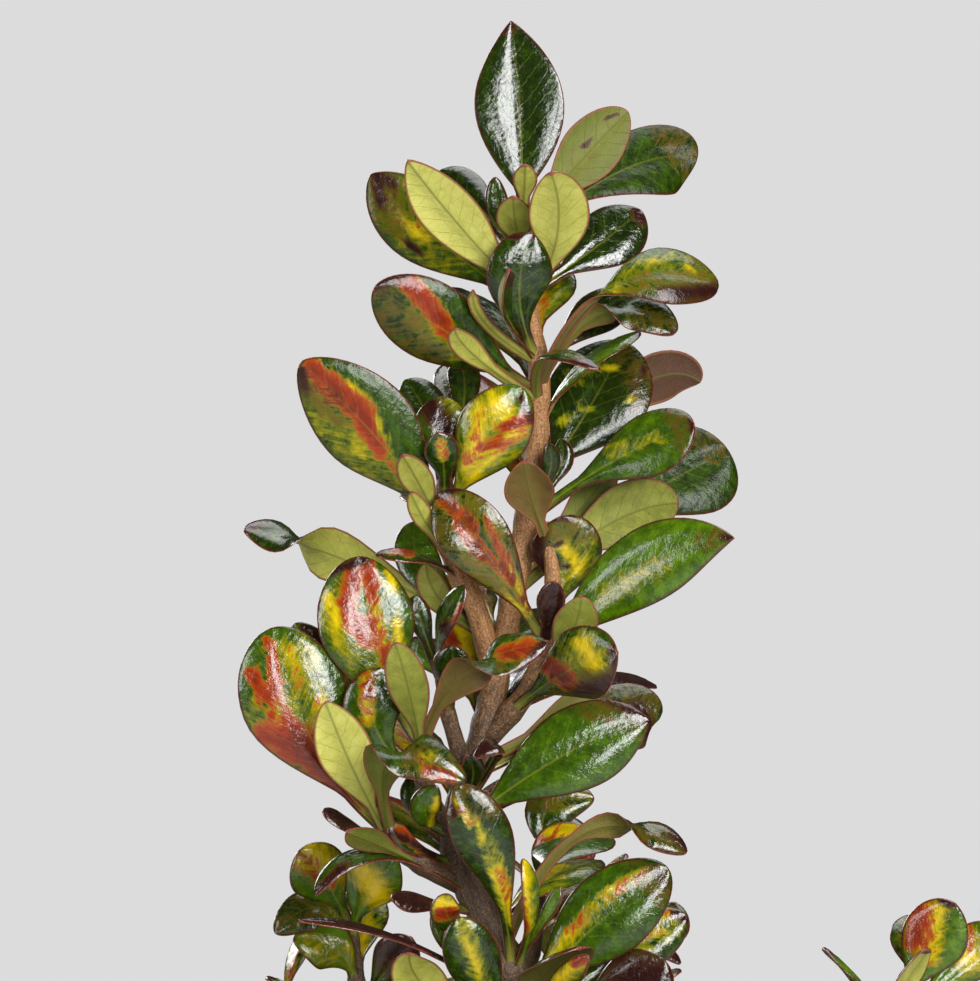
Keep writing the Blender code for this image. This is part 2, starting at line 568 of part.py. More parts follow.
    ("trunk", 178, (9.5, -4.0, 187.0), (12.5, -5.0, 193.0), 2.8, (0, 30), {}),
    ("trunk", 222, (18.0, 12.0, 229.0), (30.5, 22.0, 227.5), 8.0, (0, 60), {}),
]

# Its other leaves: stem, lowest and highest pair, spacing, first azimuth, only behind or not
LEADER_WHORLS = [
    ("trunk", 122, 168, 13.0, 30.0, False),
    ("trunk", 184, 304, 7.5, 135.0, True),
    ("back_twig", 231, 244, 7.0, 150.0, True),
    ("low_back_twig", 180, 192, 7.0, 170.0, True),
]

# The other shoots: seed, path from the soil to the tip
SHOOTS = {
    "right_shoot": (11, [(33.0, -3.0, 100.0, 2.5), (47.0, 6.0, 130.0, 2.2),
                         (66.0, 18.0, 155.0, 1.8), (79.0, 28.0, 172.0, 1.1)]),
    "back_left_shoot": (12, [(-16.0, 26.0, 100.0, 2.6), (-20.0, 33.0, 135.0, 2.3),
                             (-24.0, 39.0, 165.0, 1.8), (-26.0, 42.0, 184.0, 1.1)]),
    "back_right_shoot": (13, [(15.0, 30.0, 100.0, 2.6), (15.0, 37.0, 140.0, 2.3),
                              (14.0, 42.0, 172.0, 1.8), (13.0, 44.0, 192.0, 1.1)]),
    "left_shoot": (14, [(-34.0, -4.0, 100.0, 2.5), (-45.0, -8.0, 122.0, 2.1),
                        (-57.0, -12.0, 142.0, 1.1)]),
    "front_left_shoot": (15, [(-17.0, -30.0, 100.0, 2.5), (-22.0, -40.0, 122.0, 2.1),
                              (-26.0, -50.0, 144.0, 1.1)]),
    "front_right_shoot": (16, [(24.0, -29.0, 100.0, 2.5), (31.0, -38.0, 122.0, 2.1),
                               (38.0, -48.0, 145.0, 1.1)]),
}

# Leaves of those shoots that the front view shows: height, middle, tip, width, facing
SHOOT_LEAVES = {
    "right_shoot": [
        (167, (80.0, 26.0, 178.5), (85.3, 24.0, 188.0), 12.5, (-10, 10)),
        (166, (86.0, 28.0, 176.0), (93.5, 28.0, 183.5), 10.0, (10, 15)),
    ],
    "back_left_shoot": [
        (182, (-29.0, 38.0, 193.0), (-35.5, 36.0, 197.0), 11.5, (-5, 15)),
        (180, (-23.0, 36.0, 189.0), (-17.5, 33.0, 196.5), 11.0, (5, 15)),
        (176, (-31.0, 38.0, 186.0), (-39.8, 37.0, 181.5), 9.0, (0, 35)),
        (170, (-28.0, 38.0, 178.0), (-36.5, 36.0, 180.5), 9.5, (-10, 25)),
        (168, (-19.0, 37.0, 175.0), (-14.5, 34.0, 181.0), 9.0, (10, 15)),
    ],
    "back_right_shoot": [
        (186, (12.0, 43.0, 194.0), (20.0, 42.0, 198.0), 12.5, (0, 10)),
        (190, (10.0, 45.0, 203.0), (19.5, 47.0, 206.0), 9.5, (5, 25)),
    ],
}

# How a shoot grows
FIRST_NODE = 0.26
FIRST_TWIG_NODE = 0.45
NODE_SPACING = 12.0
LEAF_LENGTH = (26.0, 33.0)
YOUNG_LENGTH = 16.0
WIDTH_SHARE = (0.48, 0.58)
ARCH = (0.05, 0.12)
SWAY = 18.0
RISE = (18.0, 38.0)
YOUNG_RISE = 38.0
SWING = 12.0
TWIGS = (2, 3)
TWIG_FOOT = (0.3, 0.6)
TWIG_TURN = 97.0
TWIG_LENGTH = (24.0, 34.0)
TWIG_RISE = (35.0, 60.0)
TWIG_RADII = (1.5, 1.3, 0.9)
TRIES = [(0, 0, 1.0), (22, 0, 1.0), (-22, 0, 1.0), (0, 18, 1.0), (0, -16, 1.0), (40, 10, 0.9),
         (-40, 10, 0.9), (20, 25, 0.8), (-20, 25, 0.8), (60, 0, 0.8), (-60, 0, 0.8)]


def grown_leaf(base, azimuth, elevation, length, draw):
    """A leaf that rises from its stem with its upper side towards it, and arches outwards."""
    along = compass(azimuth, elevation)
    upper = compass(azimuth, elevation + QUARTER_TURN)
    arch = length * draw.uniform(*ARCH)
    middle = base + along * (length * 0.5) + upper * arch
    width = length * draw.uniform(*WIDTH_SHARE)
    turn = draw.uniform(-SWAY, SWAY)
    faces = (azimuth + turn, elevation + QUARTER_TURN)
    return Leaf(base, middle, base + along * length, width, faces)


def add_grown(crowd, node, leaves, base, azimuth, elevation, length, seed):
    """Adds a leaf where it crosses nothing, turned or bent clear, or else leaves it out."""
    for turn, bend, share in TRIES:
        draw = random.Random(seed)
        leaf = grown_leaf(base, azimuth + turn, elevation + bend, length * share, draw)
        if crowd.has_room(node, leaf):
            crowd.add_leaf(node, leaf)
            leaves.append(leaf)
            return


def add_pairs(crowd, node, leaves, nodes, azimuth, seed, behind_only=False):
    """Opposite pairs, each a quarter turn from the one below. `nodes` is (base, youth) pairs."""
    draw = random.Random(seed)
    for number, (base, share) in enumerate(nodes):
        length = draw.uniform(*LEAF_LENGTH) * (1 - share) + YOUNG_LENGTH * share
        elevation = draw.uniform(*RISE) + YOUNG_RISE * share
        swing = draw.uniform(-SWING, SWING)
        for side in (0.0, 180.0):
            heading = azimuth + QUARTER_TURN * number + swing + side
            if behind_only and math.cos(math.radians(heading)) > BEHIND:
                continue
            add_grown(crowd, node, leaves, base, heading, elevation, length,
                      seed * 1000 + number * 2 + (side > 0))


def path_length(path):
    return sum((b.xyz - a.xyz).length for a, b in zip(path, path[1:]))


def place_along(path, reach):
    """The place on a path at a distance from its start."""
    for a, b in zip(path, path[1:]):
        length = (b.xyz - a.xyz).length
        if reach <= length:
            return a.xyz.lerp(b.xyz, reach / length)
        reach -= length
    return path[-1].xyz


def nodes_along(path, first, spacing):
    """Leaf nodes at even steps along a path, with how young each is, from 0 to 1."""
    total = path_length(path)
    count = max(1, round(total * (1 - first) / spacing))
    nodes = []
    for number in range(count + 1):
        reach = total * (first + (1 - first) * number / count)
        nodes.append((place_along(path, min(reach, total - TIP_INSET)), (number / count) ** 2))
    return nodes


def twig_path(path, share, azimuth, draw):
    """A short side twig that leaves the stem and curves upwards."""
    base = place_along(path, share * path_length(path))
    length = draw.uniform(*TWIG_LENGTH)
    middle = base + compass(azimuth, TWIG_RISE[0]) * (length * 0.5)
    tip = middle + compass(azimuth, TWIG_RISE[1]) * (length * 0.5)
    rows = zip((base, middle, tip), TWIG_RADII)
    return smooth_path([(*place, radius) for place, radius in rows])


# Fusing a leafy stem into one body

def outer_body(mesh):
    """Keeps the largest closed body, without sealed hollows and loose scraps."""
    bm = bmesh.new()
    bm.from_mesh(mesh)
    left = set(bm.faces)
    bodies = []
    while left:
        body, edge = set(), [next(iter(left))]
        while edge:
            face = edge.pop()
            if face in left:
                left.remove(face)
                body.add(face)
                edge += [other for line in face.edges for other in line.link_faces]
        bodies.append(body)
    bodies.sort(key=len)
    scraps = [face for body in bodies[:-1] for face in body]
    bmesh.ops.delete(bm, geom=scraps, context="FACES")
    bmesh.ops.triangulate(bm, faces=bm.faces)
    bm.to_mesh(mesh)
    bm.free()


def fuse(name, meshes, collection, material):
    """Joins stems and blades with one union and keeps the result as a plain mesh."""
    pieces = new_collection(name + "_pieces")
    for number, mesh in enumerate(meshes[1:]):
        new_object("%s_piece_%03d" % (name, number), mesh, pieces)
    stem = new_object(name + "_stem", meshes[0], collection)
    union = stem.modifiers.new("Union", "BOOLEAN")
    union.operation = "UNION"
    union.operand_type = "COLLECTION"
    union.collection = pieces
    union.solver = "MANIFOLD"
    fused = evaluated_mesh(stem)
    for item in [stem, *pieces.objects]:
        bpy.data.objects.remove(item, do_unlink=True)
    bpy.data.collections.remove(pieces)
    outer_body(fused)
    fused.name = name
    fused.materials.clear()
    fused.materials.append(material)
    new_object(name, fused, collection)


def blade_mesh(leaf):
    """One blade as a mesh of its own, ready to be fused."""
    mesh = bpy.data.meshes.new("blade")
    bm, _ = blade(leaf)
    bmesh.ops.scale(bm, vec=(MM, MM, MM), verts=bm.verts)
    bm.to_mesh(mesh)
    bm.free()
    return mesh


def plan_stems(collection, crowd):
    """Paths of all stems and twigs by node; a twig that would cross another node is left out."""
    stems = {"leader": [smooth_path(points) for points in LEADER_STEMS.values()]}
    stems["leader"][0] = planted(LEADER_STEMS["trunk"])
    stems.update({name: [planted(points)] for name, (_, points) in SHOOTS.items()})
    for name, paths in stems.items():
        for path in paths:
            crowd.add_stem(name, tube_mesh(name, path, collection))
    return stems


def add_twigs(name, seed, path, collection, crowd):
    """Side twigs of a shoot, each where it crosses no other node."""
    draw = random.Random(seed)
    azimuth = draw.uniform(0.0, QUARTER_TURN)
    twigs = []
    for number in range(draw.randint(*TWIGS)):
        share = draw.uniform(*TWIG_FOOT)
        twig = twig_path(path, share, azimuth + TWIG_TURN * number, draw)
        mesh = tube_mesh(name, twig, collection)
        if crowd.is_free(name, *mesh_faces(mesh)):
            crowd.add_stem(name, mesh)
            twigs.append(twig)
    return twigs


def plan_leader_leaves(crowd):
    """The leaves that the front view shows, placed one by one."""
    paths = {name: smooth_path(points) for name, points in LEADER_STEMS.items()}
    leaves = []
    for stem, height, middle, tip, width, faces, unusual in LEADER_LEAVES:
        middle, tip = [(x, y * LEADER_DEPTH, z) for x, y, z in (middle, tip)]
        leaves.append(Leaf(at_height(paths[stem], height), middle, tip, width, faces, **unusual))
        crowd.add_leaf("leader", leaves[-1])
    return leaves


def add_leader_whorls(crowd, leaves):
    """Seeded pairs low down all round, and higher up only behind the leaves placed by hand."""
    for number, (stem, low, high, spacing, azimuth, behind_only) in enumerate(LEADER_WHORLS):
        path = smooth_path(LEADER_STEMS[stem])
        count = round((high - low) / spacing)
        heights = [low + (high - low) * step / count for step in range(count + 1)]
        nodes = [(at_height(path, height), LEADER_YOUTH) for height in heights]
        add_pairs(crowd, "leader", leaves, nodes, azimuth, LEADER_SEED + number, behind_only)


def plan_shoot_leaves(name, path, crowd):
    """The leaves of a shoot that the front view shows."""
    leaves = []
    for height, middle, tip, width, faces in SHOOT_LEAVES.get(name, []):
        leaves.append(Leaf(at_height(path, height), middle, tip, width, faces))
        crowd.add_leaf(name, leaves[-1])
    return leaves


def add_shoot_pairs(crowd, name, seed, stems, leaves):
    """Pairs along a shoot and its twigs; a shoot's own foot stays bare."""
    draw = random.Random(seed + PAIR_SEED)
    for number, path in enumerate(stems):
        grown, first = (path, FIRST_TWIG_NODE) if number else (path[1:], FIRST_NODE)
        nodes = nodes_along(grown, first, NODE_SPACING)
        azimuth = draw.uniform(0.0, QUARTER_TURN)
        add_pairs(crowd, name, leaves, nodes, azimuth, seed * 10 + number)


def build():
    clear_scene()
    model = new_collection("Potted coprosma")
    cutters = new_collection("Cutters")
    clay = principled("fired_clay", (0.42, 0.17, 0.09), 0.85)
    earth = principled("potting_soil", (0.035, 0.022, 0.014), 0.95)
    leafy = principled("coprosma_leaf", (0.10, 0.19, 0.03), 0.3)

    crowd = Crowd()
    stems = plan_stems(model, crowd)
    feet = {name: paths[0] for name, paths in stems.items()}
    for name, (seed, _) in SHOOTS.items():
        stems[name] += add_twigs(name, seed, feet[name][1:], model, crowd)
    leaves = {"leader": plan_leader_leaves(crowd)}
    for name in SHOOTS:
        leaves[name] = plan_shoot_leaves(name, feet[name], crowd)
    add_leader_whorls(crowd, leaves["leader"])
    for name, (seed, _) in SHOOTS.items():
        add_shoot_pairs(crowd, name, seed, stems[name], leaves[name])
    for name, paths in stems.items():
        meshes = [tube_mesh(name, path, model) for path in paths]
        meshes += [blade_mesh(leaf) for leaf in leaves[name]]
        fuse(name, meshes, model, leafy)

    make_pot(model, cutters, clay)
    make_soil(model, cutters, earth, feet)


build()
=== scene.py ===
# %% [markdown]
# # A potted coprosma
# Coprosma is a small evergreen shrub, also called mirror plant. Its leaves shine as if they
# were varnished, and each is painted green, yellow and red in its own way. This lesson dresses
# a plain solid model of one plant: it gives every stem its bark and every leaf its curve,
# veins, rim and colours, and it adds the clay pot and the soil.
#
# The plain model comes first, as a fixed frame. Everything below is made in its coordinates.

# %% Load the fixed frame
import math
import random

import bmesh
import bpy
import numpy as np
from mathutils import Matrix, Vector, noise
from mathutils.bvhtree import BVHTree


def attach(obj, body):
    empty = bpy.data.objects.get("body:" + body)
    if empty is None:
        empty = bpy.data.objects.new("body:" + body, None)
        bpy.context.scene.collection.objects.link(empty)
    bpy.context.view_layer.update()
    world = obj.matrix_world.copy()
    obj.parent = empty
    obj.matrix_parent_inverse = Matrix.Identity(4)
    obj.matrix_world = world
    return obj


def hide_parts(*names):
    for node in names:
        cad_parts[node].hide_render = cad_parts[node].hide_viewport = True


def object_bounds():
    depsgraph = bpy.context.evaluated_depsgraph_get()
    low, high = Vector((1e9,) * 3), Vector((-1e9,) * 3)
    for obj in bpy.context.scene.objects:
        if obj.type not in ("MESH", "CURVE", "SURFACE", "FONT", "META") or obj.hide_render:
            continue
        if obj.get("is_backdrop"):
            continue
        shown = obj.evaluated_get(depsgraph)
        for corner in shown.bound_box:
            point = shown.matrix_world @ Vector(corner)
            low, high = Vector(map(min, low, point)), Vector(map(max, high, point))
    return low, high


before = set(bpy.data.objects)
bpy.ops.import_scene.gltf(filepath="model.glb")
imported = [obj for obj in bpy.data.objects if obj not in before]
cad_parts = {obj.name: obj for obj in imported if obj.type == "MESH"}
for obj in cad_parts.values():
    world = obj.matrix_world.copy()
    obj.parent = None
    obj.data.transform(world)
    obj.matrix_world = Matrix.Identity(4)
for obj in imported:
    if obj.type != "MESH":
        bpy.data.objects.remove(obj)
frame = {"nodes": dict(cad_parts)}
cad_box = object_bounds()
print("solid pieces:", ", ".join(sorted(frame["nodes"])))

# %% [markdown]
# Sizes are written in millimetres and scaled once, where a mesh is made. Colours are written
# the way a paint chart gives them, as sRGB hex, and turned to the linear values that a shader
# works with. Materials are node trees, and one small function adds any node, with its settings
# and with values or links for its sockets. A link may name an output, or only the node, for
# the first output that it has in use.

# %% Units, colours and nodes
MM = 0.001


def linear(hex_colour):
    """An sRGB hex colour as linear RGBA."""
    parts = [int(hex_colour[start:start + 2], 16) / 255 for start in (1, 3, 5)]
    return (*[p / 12.92 if p <= 0.04045 else ((p + 0.055) / 1.055) ** 2.4 for p in parts], 1.0)


def fill(tree, node, inputs):
    """Gives each socket its value, or a link where the value is an output or a node."""
    for socket, value in inputs.items():
        if isinstance(value, bpy.types.Node):
            value = next(output for output in value.outputs if output.enabled)
        if isinstance(value, bpy.types.NodeSocket):
            tree.links.new(value, node.inputs[socket])
        else:
            node.inputs[socket].default_value = value


def add(tree, kind, inputs=None, stops=(), **settings):
    """Adds a shader node. A colour ramp's stops are a place, a hex colour and maybe a cover."""
    node = tree.nodes.new("ShaderNode" + kind)
    for name, value in settings.items():
        setattr(node, name, value)
    fill(tree, node, inputs or {})
    for number, (place, colour, *cover) in enumerate(stops):
        row = node.color_ramp.elements
        stop = row[number] if number < 2 else row.new(place)
        stop.position = place
        stop.color = (*linear(colour)[:3], *(cover or [1.0]))
    return node


def new_material(name):
    material = bpy.data.materials.new(name)
    material.use_nodes = True
    return material, material.node_tree, material.node_tree.nodes["Principled BSDF"]


def linked(name, data):
    """A new object in the scene."""
    item = bpy.data.objects.new(name, data)
    bpy.context.scene.collection.objects.link(item)
    return item


def show(name, mesh, materials, node):
    """Puts a finished mesh in the scene, in place of a solid of the frame."""
    for material in materials:
        mesh.materials.append(material)
    piece = linked(name, mesh)
    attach(piece, "root")
    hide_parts(node)
    mesh.calc_loop_triangles()
    print("%s: %d triangles" % (name, len(mesh.loop_triangles)))


# %% [markdown]
# A portrait of a plant is taken from some way off with a long lens, level with the leaves, so
# that near and far leaves keep their sizes. The frame here is 176 mm tall and shows the upper
# half of the plant.

# %% Camera
VIEW_HEIGHT = 176.4
VIEW_MIDDLE = 263.7
DISTANCE = 1200.0
SENSOR = 36.0

lens = bpy.data.cameras.new("portrait lens")
lens.sensor_width = SENSOR
lens.lens = SENSOR * DISTANCE / VIEW_HEIGHT
camera = linked("camera", lens)
camera.location = (0.0, -DISTANCE * MM, VIEW_MIDDLE * MM)
camera.rotation_euler = (math.radians(90.0), 0.0, 0.0)
bpy.context.scene.camera = camera
bpy.context.scene.view_settings.view_transform = "Standard"
print("lens: %.0f mm" % lens.lens)

# %% [markdown]
# The pot stands on a disc of matt grey paper, below the edge of the front view. Round it the
# surroundings are one pale grey. To the leaves they are much dimmer, because a bright room all
# round would wash the deep greens out: what the leaves mirror should be the lamps.

# %% Floor and surroundings
FLOOR_RADIUS = 950.0
FLOOR_SIDES = 96
BACKDROP = "#DCDCDC"
ROOM_IN_MIRRORS = 0.05
ROOM_ON_MATT = 0.13

mesh = bpy.data.meshes.new("floor")
bm = bmesh.new()
bmesh.ops.create_circle(bm, cap_ends=True, segments=FLOOR_SIDES, radius=FLOOR_RADIUS * MM)
bm.to_mesh(mesh)
bm.free()
floor = linked("floor", mesh)
paper, tree, shader = new_material("matt_paper")
grain = add(tree, "TexNoise", {"Scale": 900.0, "Detail": 2.0})
tone = add(tree, "ValToRGB", {"Fac": grain}, stops=[(0.3, "#B6B6B6"), (0.7, "#BCBCBC")])
fill(tree, shader, {"Base Color": tone, "Roughness": 0.9})
mesh.materials.append(paper)
floor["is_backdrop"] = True

world = bpy.data.worlds.new("studio")
bpy.context.scene.world = world
world.use_nodes = True
tree = world.node_tree
sight = add(tree, "LightPath").outputs
room = add(tree, "MapRange", {"Value": sight["Is Diffuse Ray"], "To Min": ROOM_IN_MIRRORS,
                              "To Max": ROOM_ON_MATT})
room = add(tree, "Math", {0: sight["Is Camera Ray"], 1: room}, operation="MAXIMUM")
fill(tree, tree.nodes["Background"], {"Color": linear(BACKDROP), "Strength": room})
print("floor: %.1f m across" % (2 * FLOOR_RADIUS * MM))

# %% [markdown]
# Glossy leaves show what they mirror, so each lamp is a softbox, an even bright rectangle. The
# strongest stands high in front on the right and gives most leaves their long highlight. Two
# weaker ones in front and on the left lift the shade, one from above lights the top leaves,
# and one from behind keeps the far side from going dark.

# %% Softboxes
# Name, place, width, height, power in watts
SOFTBOXES = [
    ("front_right_softbox", (560.0, -980.0, 690.0), 420.0, 620.0, 19.0),
    ("front_softbox", (200.0, -1120.0, 400.0), 240.0, 300.0, 5.0),
    ("front_left_softbox", (-900.0, -620.0, 430.0), 260.0, 620.0, 5.0),
    ("top_softbox", (150.0, 260.0, 1150.0), 900.0, 700.0, 8.0),
    ("back_softbox", (-720.0, 940.0, 640.0), 600.0, 600.0, 9.0),
]
for name, place, width, height, power in SOFTBOXES:
    lamp = bpy.data.lights.new(name, "AREA")
    lamp.shape = "RECTANGLE"
    lamp.size = width * MM
    lamp.size_y = height * MM
    lamp.energy = power
    light = linked(name, lamp)
    light.location = Vector(place) * MM
    aim = Vector((0.0, 0.0, VIEW_MIDDLE * MM)) - light.location
    light.rotation_euler = aim.to_track_quat("-Z", "Y").to_euler()
print("softboxes:", len(SOFTBOXES))

# %% [markdown]
# The pot is fired clay, turned on a wheel: a tapering wall, a rim band that stands proud, a
# rounded foot, and three drain holes. A wheel is a Screw modifier on a profile.
# This profile is finer than the solid model's, with a rolled lip and a soft inner corner, and
# 160 steps leave no corners on its outline. The faint rings that the potter's hand leaves are
# part of the wall: the radius swings by a tenth of a millimetre as it rises.

# %% The clay pot
POT_HEIGHT = 112.0
POT_TOP_RADIUS = 65.0
POT_BASE_RADIUS = 44.0
POT_WALL = 5.0
POT_FLOOR = 8.0
RIM_HEIGHT = 22.0
RIM_PROUD = 3.6
LIP_ROUND = 2.0
FOOT_ROUND = 2.0
FLOOR_CORNER = 3.0
# Steps of the profile: under the band, and between a rounding and the wall beside it
BAND_STEP = 0.6
SEAM = 1.0
RING_DEPTH = 0.12
RING_PITCH = 3.1
DRAIN_RADIUS = 5.0
DRAIN_CIRCLE = 22.0
DRAIN_HOLES = 3
DRAIN_MARGIN = 4.0


def outer_radius(height):
    """The outside radius of the pot's tapering wall, below the rim's band."""
    top = POT_TOP_RADIUS - RIM_PROUD
    return POT_BASE_RADIUS + (top - POT_BASE_RADIUS) * height / POT_HEIGHT


def inner_radius(height):
    return outer_radius(height) - POT_WALL


def arc(centre, radius, start, end, steps=6):
    """Points of (radius, height) round a centre, from one angle to another in degrees."""
    angles = np.radians(np.linspace(start, end, steps + 1))
    return [(centre[0] + radius * math.cos(a), centre[1] + radius * math.sin(a)) for a in angles]


def wall(low, high, shape, step=1.4):
    """Points up or down a wall, with the faint rings of throwing."""
    heights = np.linspace(low, high, max(2, round(abs(high - low) / step)))
    return [(shape(z) - RING_DEPTH * math.sin(z * math.tau / RING_PITCH) ** 2, z) for z in heights]


# %% [markdown]
# The profile is one line of points. It starts on the axis at the floor inside, goes up the
# inner wall, over the lip, down the band and the outer wall, and back to the axis underneath.

# %% The pot's profile
band = POT_HEIGHT - RIM_HEIGHT
profile = [(0.0, POT_FLOOR)]
profile += arc((inner_radius(POT_FLOOR) - FLOOR_CORNER, POT_FLOOR + FLOOR_CORNER), FLOOR_CORNER,
               270, 355)
profile += wall(POT_FLOOR + FLOOR_CORNER + SEAM, POT_HEIGHT - LIP_ROUND - SEAM, inner_radius)
profile += arc((inner_radius(POT_HEIGHT) + LIP_ROUND, POT_HEIGHT - LIP_ROUND), LIP_ROUND, 175, 90)
profile += arc((POT_TOP_RADIUS - LIP_ROUND, POT_HEIGHT - LIP_ROUND), LIP_ROUND, 90, 0)
profile += wall(POT_HEIGHT - LIP_ROUND - SEAM, band + LIP_ROUND,
                lambda z: outer_radius(z) + RIM_PROUD)
profile += arc((outer_radius(band) + RIM_PROUD - LIP_ROUND, band + LIP_ROUND), LIP_ROUND, 0, -80)
profile += wall(band - BAND_STEP, FOOT_ROUND, outer_radius)
profile += arc((outer_radius(0.0) - FOOT_ROUND, FOOT_ROUND), FOOT_ROUND, 0, -90)
profile += [(DRAIN_CIRCLE + DRAIN_RADIUS + DRAIN_MARGIN, 0.0), (0.0, 0.0)]
print("pot profile: %d points" % len(profile))

# %% [markdown]
# The wheel turns the profile into a pot, and three drills cut the drain holes through its
# floor. The drills are Boolean modifiers, because a real hole is cut after turning, too.

# %% Turning and drilling
WHEEL_STEPS = 160
DRILL_SIDES = 40
SAME_PLACE = 0.01
SHARP_ANGLE = 40.0


def turned_mesh(name, profile, steps):
    """Spins a profile of (radius, height) pairs that starts and ends on the axis."""
    mesh = bpy.data.meshes.new(name)
    mesh.from_pydata([(r * MM, 0.0, z * MM) for r, z in profile],
                     [(k, k + 1) for k in range(len(profile) - 1)], [])
    item = linked(name, mesh)
    spin = item.modifiers.new("Wheel", "SCREW")
    spin.axis = "Z"
    spin.steps = steps
    spin.render_steps = steps
    spin.use_merge_vertices = True
    spin.merge_threshold = SAME_PLACE * MM
    return item


def settled_mesh(item):
    """The mesh of an object with its modifiers or curve bevel applied; the object goes."""
    bpy.context.view_layer.update()
    graph = bpy.context.evaluated_depsgraph_get()
    mesh = bpy.data.meshes.new_from_object(item.evaluated_get(graph))
    bpy.data.objects.remove(item, do_unlink=True)
    return mesh


pot = turned_mesh("pot_shape", profile, WHEEL_STEPS)
drills = []
for number in range(DRAIN_HOLES):
    angle = math.radians(90.0 + 360.0 * number / DRAIN_HOLES)
    drill = bpy.data.meshes.new("drill")
    bm = bmesh.new()
    bmesh.ops.create_cone(bm, cap_ends=True, segments=DRILL_SIDES, radius1=DRAIN_RADIUS * MM,
                          radius2=DRAIN_RADIUS * MM, depth=3 * POT_FLOOR * MM)
    bm.to_mesh(drill)
    bm.free()
    item = linked("drill", drill)
    item.location = Vector((math.cos(angle), math.sin(angle), 0.0)) * (DRAIN_CIRCLE * MM)
    hole = pot.modifiers.new("Drain", "BOOLEAN")
    hole.operation = "DIFFERENCE"
    hole.object = item
    drills.append(item)
pot_mesh = settled_mesh(pot)
for item in drills:
    bpy.data.objects.remove(item, do_unlink=True)
pot_mesh.shade_smooth()
pot_mesh.set_sharp_from_angle(angle=math.radians(SHARP_ANGLE))
print("pot: %d faces" % len(pot_mesh.polygons))

# %% [markdown]
# Fired clay, or terracotta, is red iron-bearing earth, unglazed, so it is matt and slightly
# rough, with fine grog in it. Water that soaks through leaves pale lime bloom, mostly low
# down. The grog is a noise of half-millimetre grains, and the bloom is a slow noise of about
# 30 mm, thinned out by height.

# %% Fired clay
fired_clay, tree, shader = new_material("fired_clay")
place = add(tree, "TexCoord").outputs["Object"]
height = add(tree, "SeparateXYZ", {"Vector": place}).outputs["Z"]
grog = add(tree, "TexNoise", {"Vector": place, "Scale": 2000.0, "Detail": 3.0})
cloud = add(tree, "TexNoise", {"Vector": place, "Scale": 30.0, "Detail": 5.0})
body = add(tree, "ValToRGB", {"Fac": grog},
           stops=[(0.25, "#8E4A30"), (0.5, "#B2643F"), (0.8, "#C88560")])
low_down = add(tree, "MapRange", {"Value": height, "From Max": 90 * MM, "To Min": 0.16,
                                  "To Max": 0.0})
bloom = add(tree, "Math", {0: cloud, 1: low_down}, operation="ADD")
bloom = add(tree, "MapRange", {"Value": bloom, "From Min": 0.52, "From Max": 0.78,
                               "To Max": 0.55})
colour = add(tree, "Mix", {"Factor": bloom, "A": body, "B": linear("#D9C2AC")},
             data_type="RGBA")
dents = add(tree, "Bump", {"Height": grog, "Distance": 0.12 * MM})
fill(tree, shader, {"Base Color": colour, "Roughness": 0.85, "Normal": dents})
show("clay_pot", pot_mesh, [fired_clay], "pot")

# %% [markdown]
# Potting soil is dark compost that was pressed down by watering: low mounds, crumbs of a few
# millimetres, and short fibres. The top is a fine disc whose height follows the same slow
# noise as the solid model, with two finer noises on it. Loose crumbs lie on top: small lumps
# made from spheres whose points are pushed about.

# %% The surface of the soil
GAP = 0.3
SOIL_LEVEL = 100.0
SOIL_MOUND = 2.5
SOIL_CRUMB = 2.4
SOIL_CRUMB_SCALE = 0.06
SOIL_STEPS = 150
SOIL_RING = 0.9
TOP_DEPTH = 1.0
COARSE_SIZE, COARSE_RISE = 3.0, 0.7
FINE_SIZE, FINE_RISE = 1.1, 0.3
CRUMBS = 420
CRUMB_SIZE = (0.7, 2.2)
CRUMB_STRETCH = (0.6, 1.2)
CRUMB_RISE = 0.25
CRUMB_KNOBS = 0.45
CRUMB_KNOB_SCALE = 1.3
CRUMB_SEED = 3
CRUMB_MARGIN = 3.0


def soil_height(x, y):
    """The slow mounds of the surface, higher in the middle than at the wall."""
    middle = 1.0 - math.hypot(x, y) / inner_radius(SOIL_LEVEL)
    crumb = noise.noise(Vector((x, y, 0.0)) * SOIL_CRUMB_SCALE)
    return SOIL_LEVEL + SOIL_CRUMB * crumb + SOIL_MOUND * middle


def crumbly(x, y):
    """The same surface with crumbs of two sizes, each from its own slice of a noise."""
    coarse = noise.noise(Vector((x, y, 7.0)) / COARSE_SIZE)
    fine = noise.noise(Vector((x, y, 3.0)) / FINE_SIZE)
    return soil_height(x, y) + COARSE_RISE * abs(coarse) + FINE_RISE * fine


# %% [markdown]
# The body of the soil fills the pot with a hair's gap. It is turned like the pot, and then its
# top is raised into mounds and crumbs. The loose crumbs are joined to it, so soil is one piece.

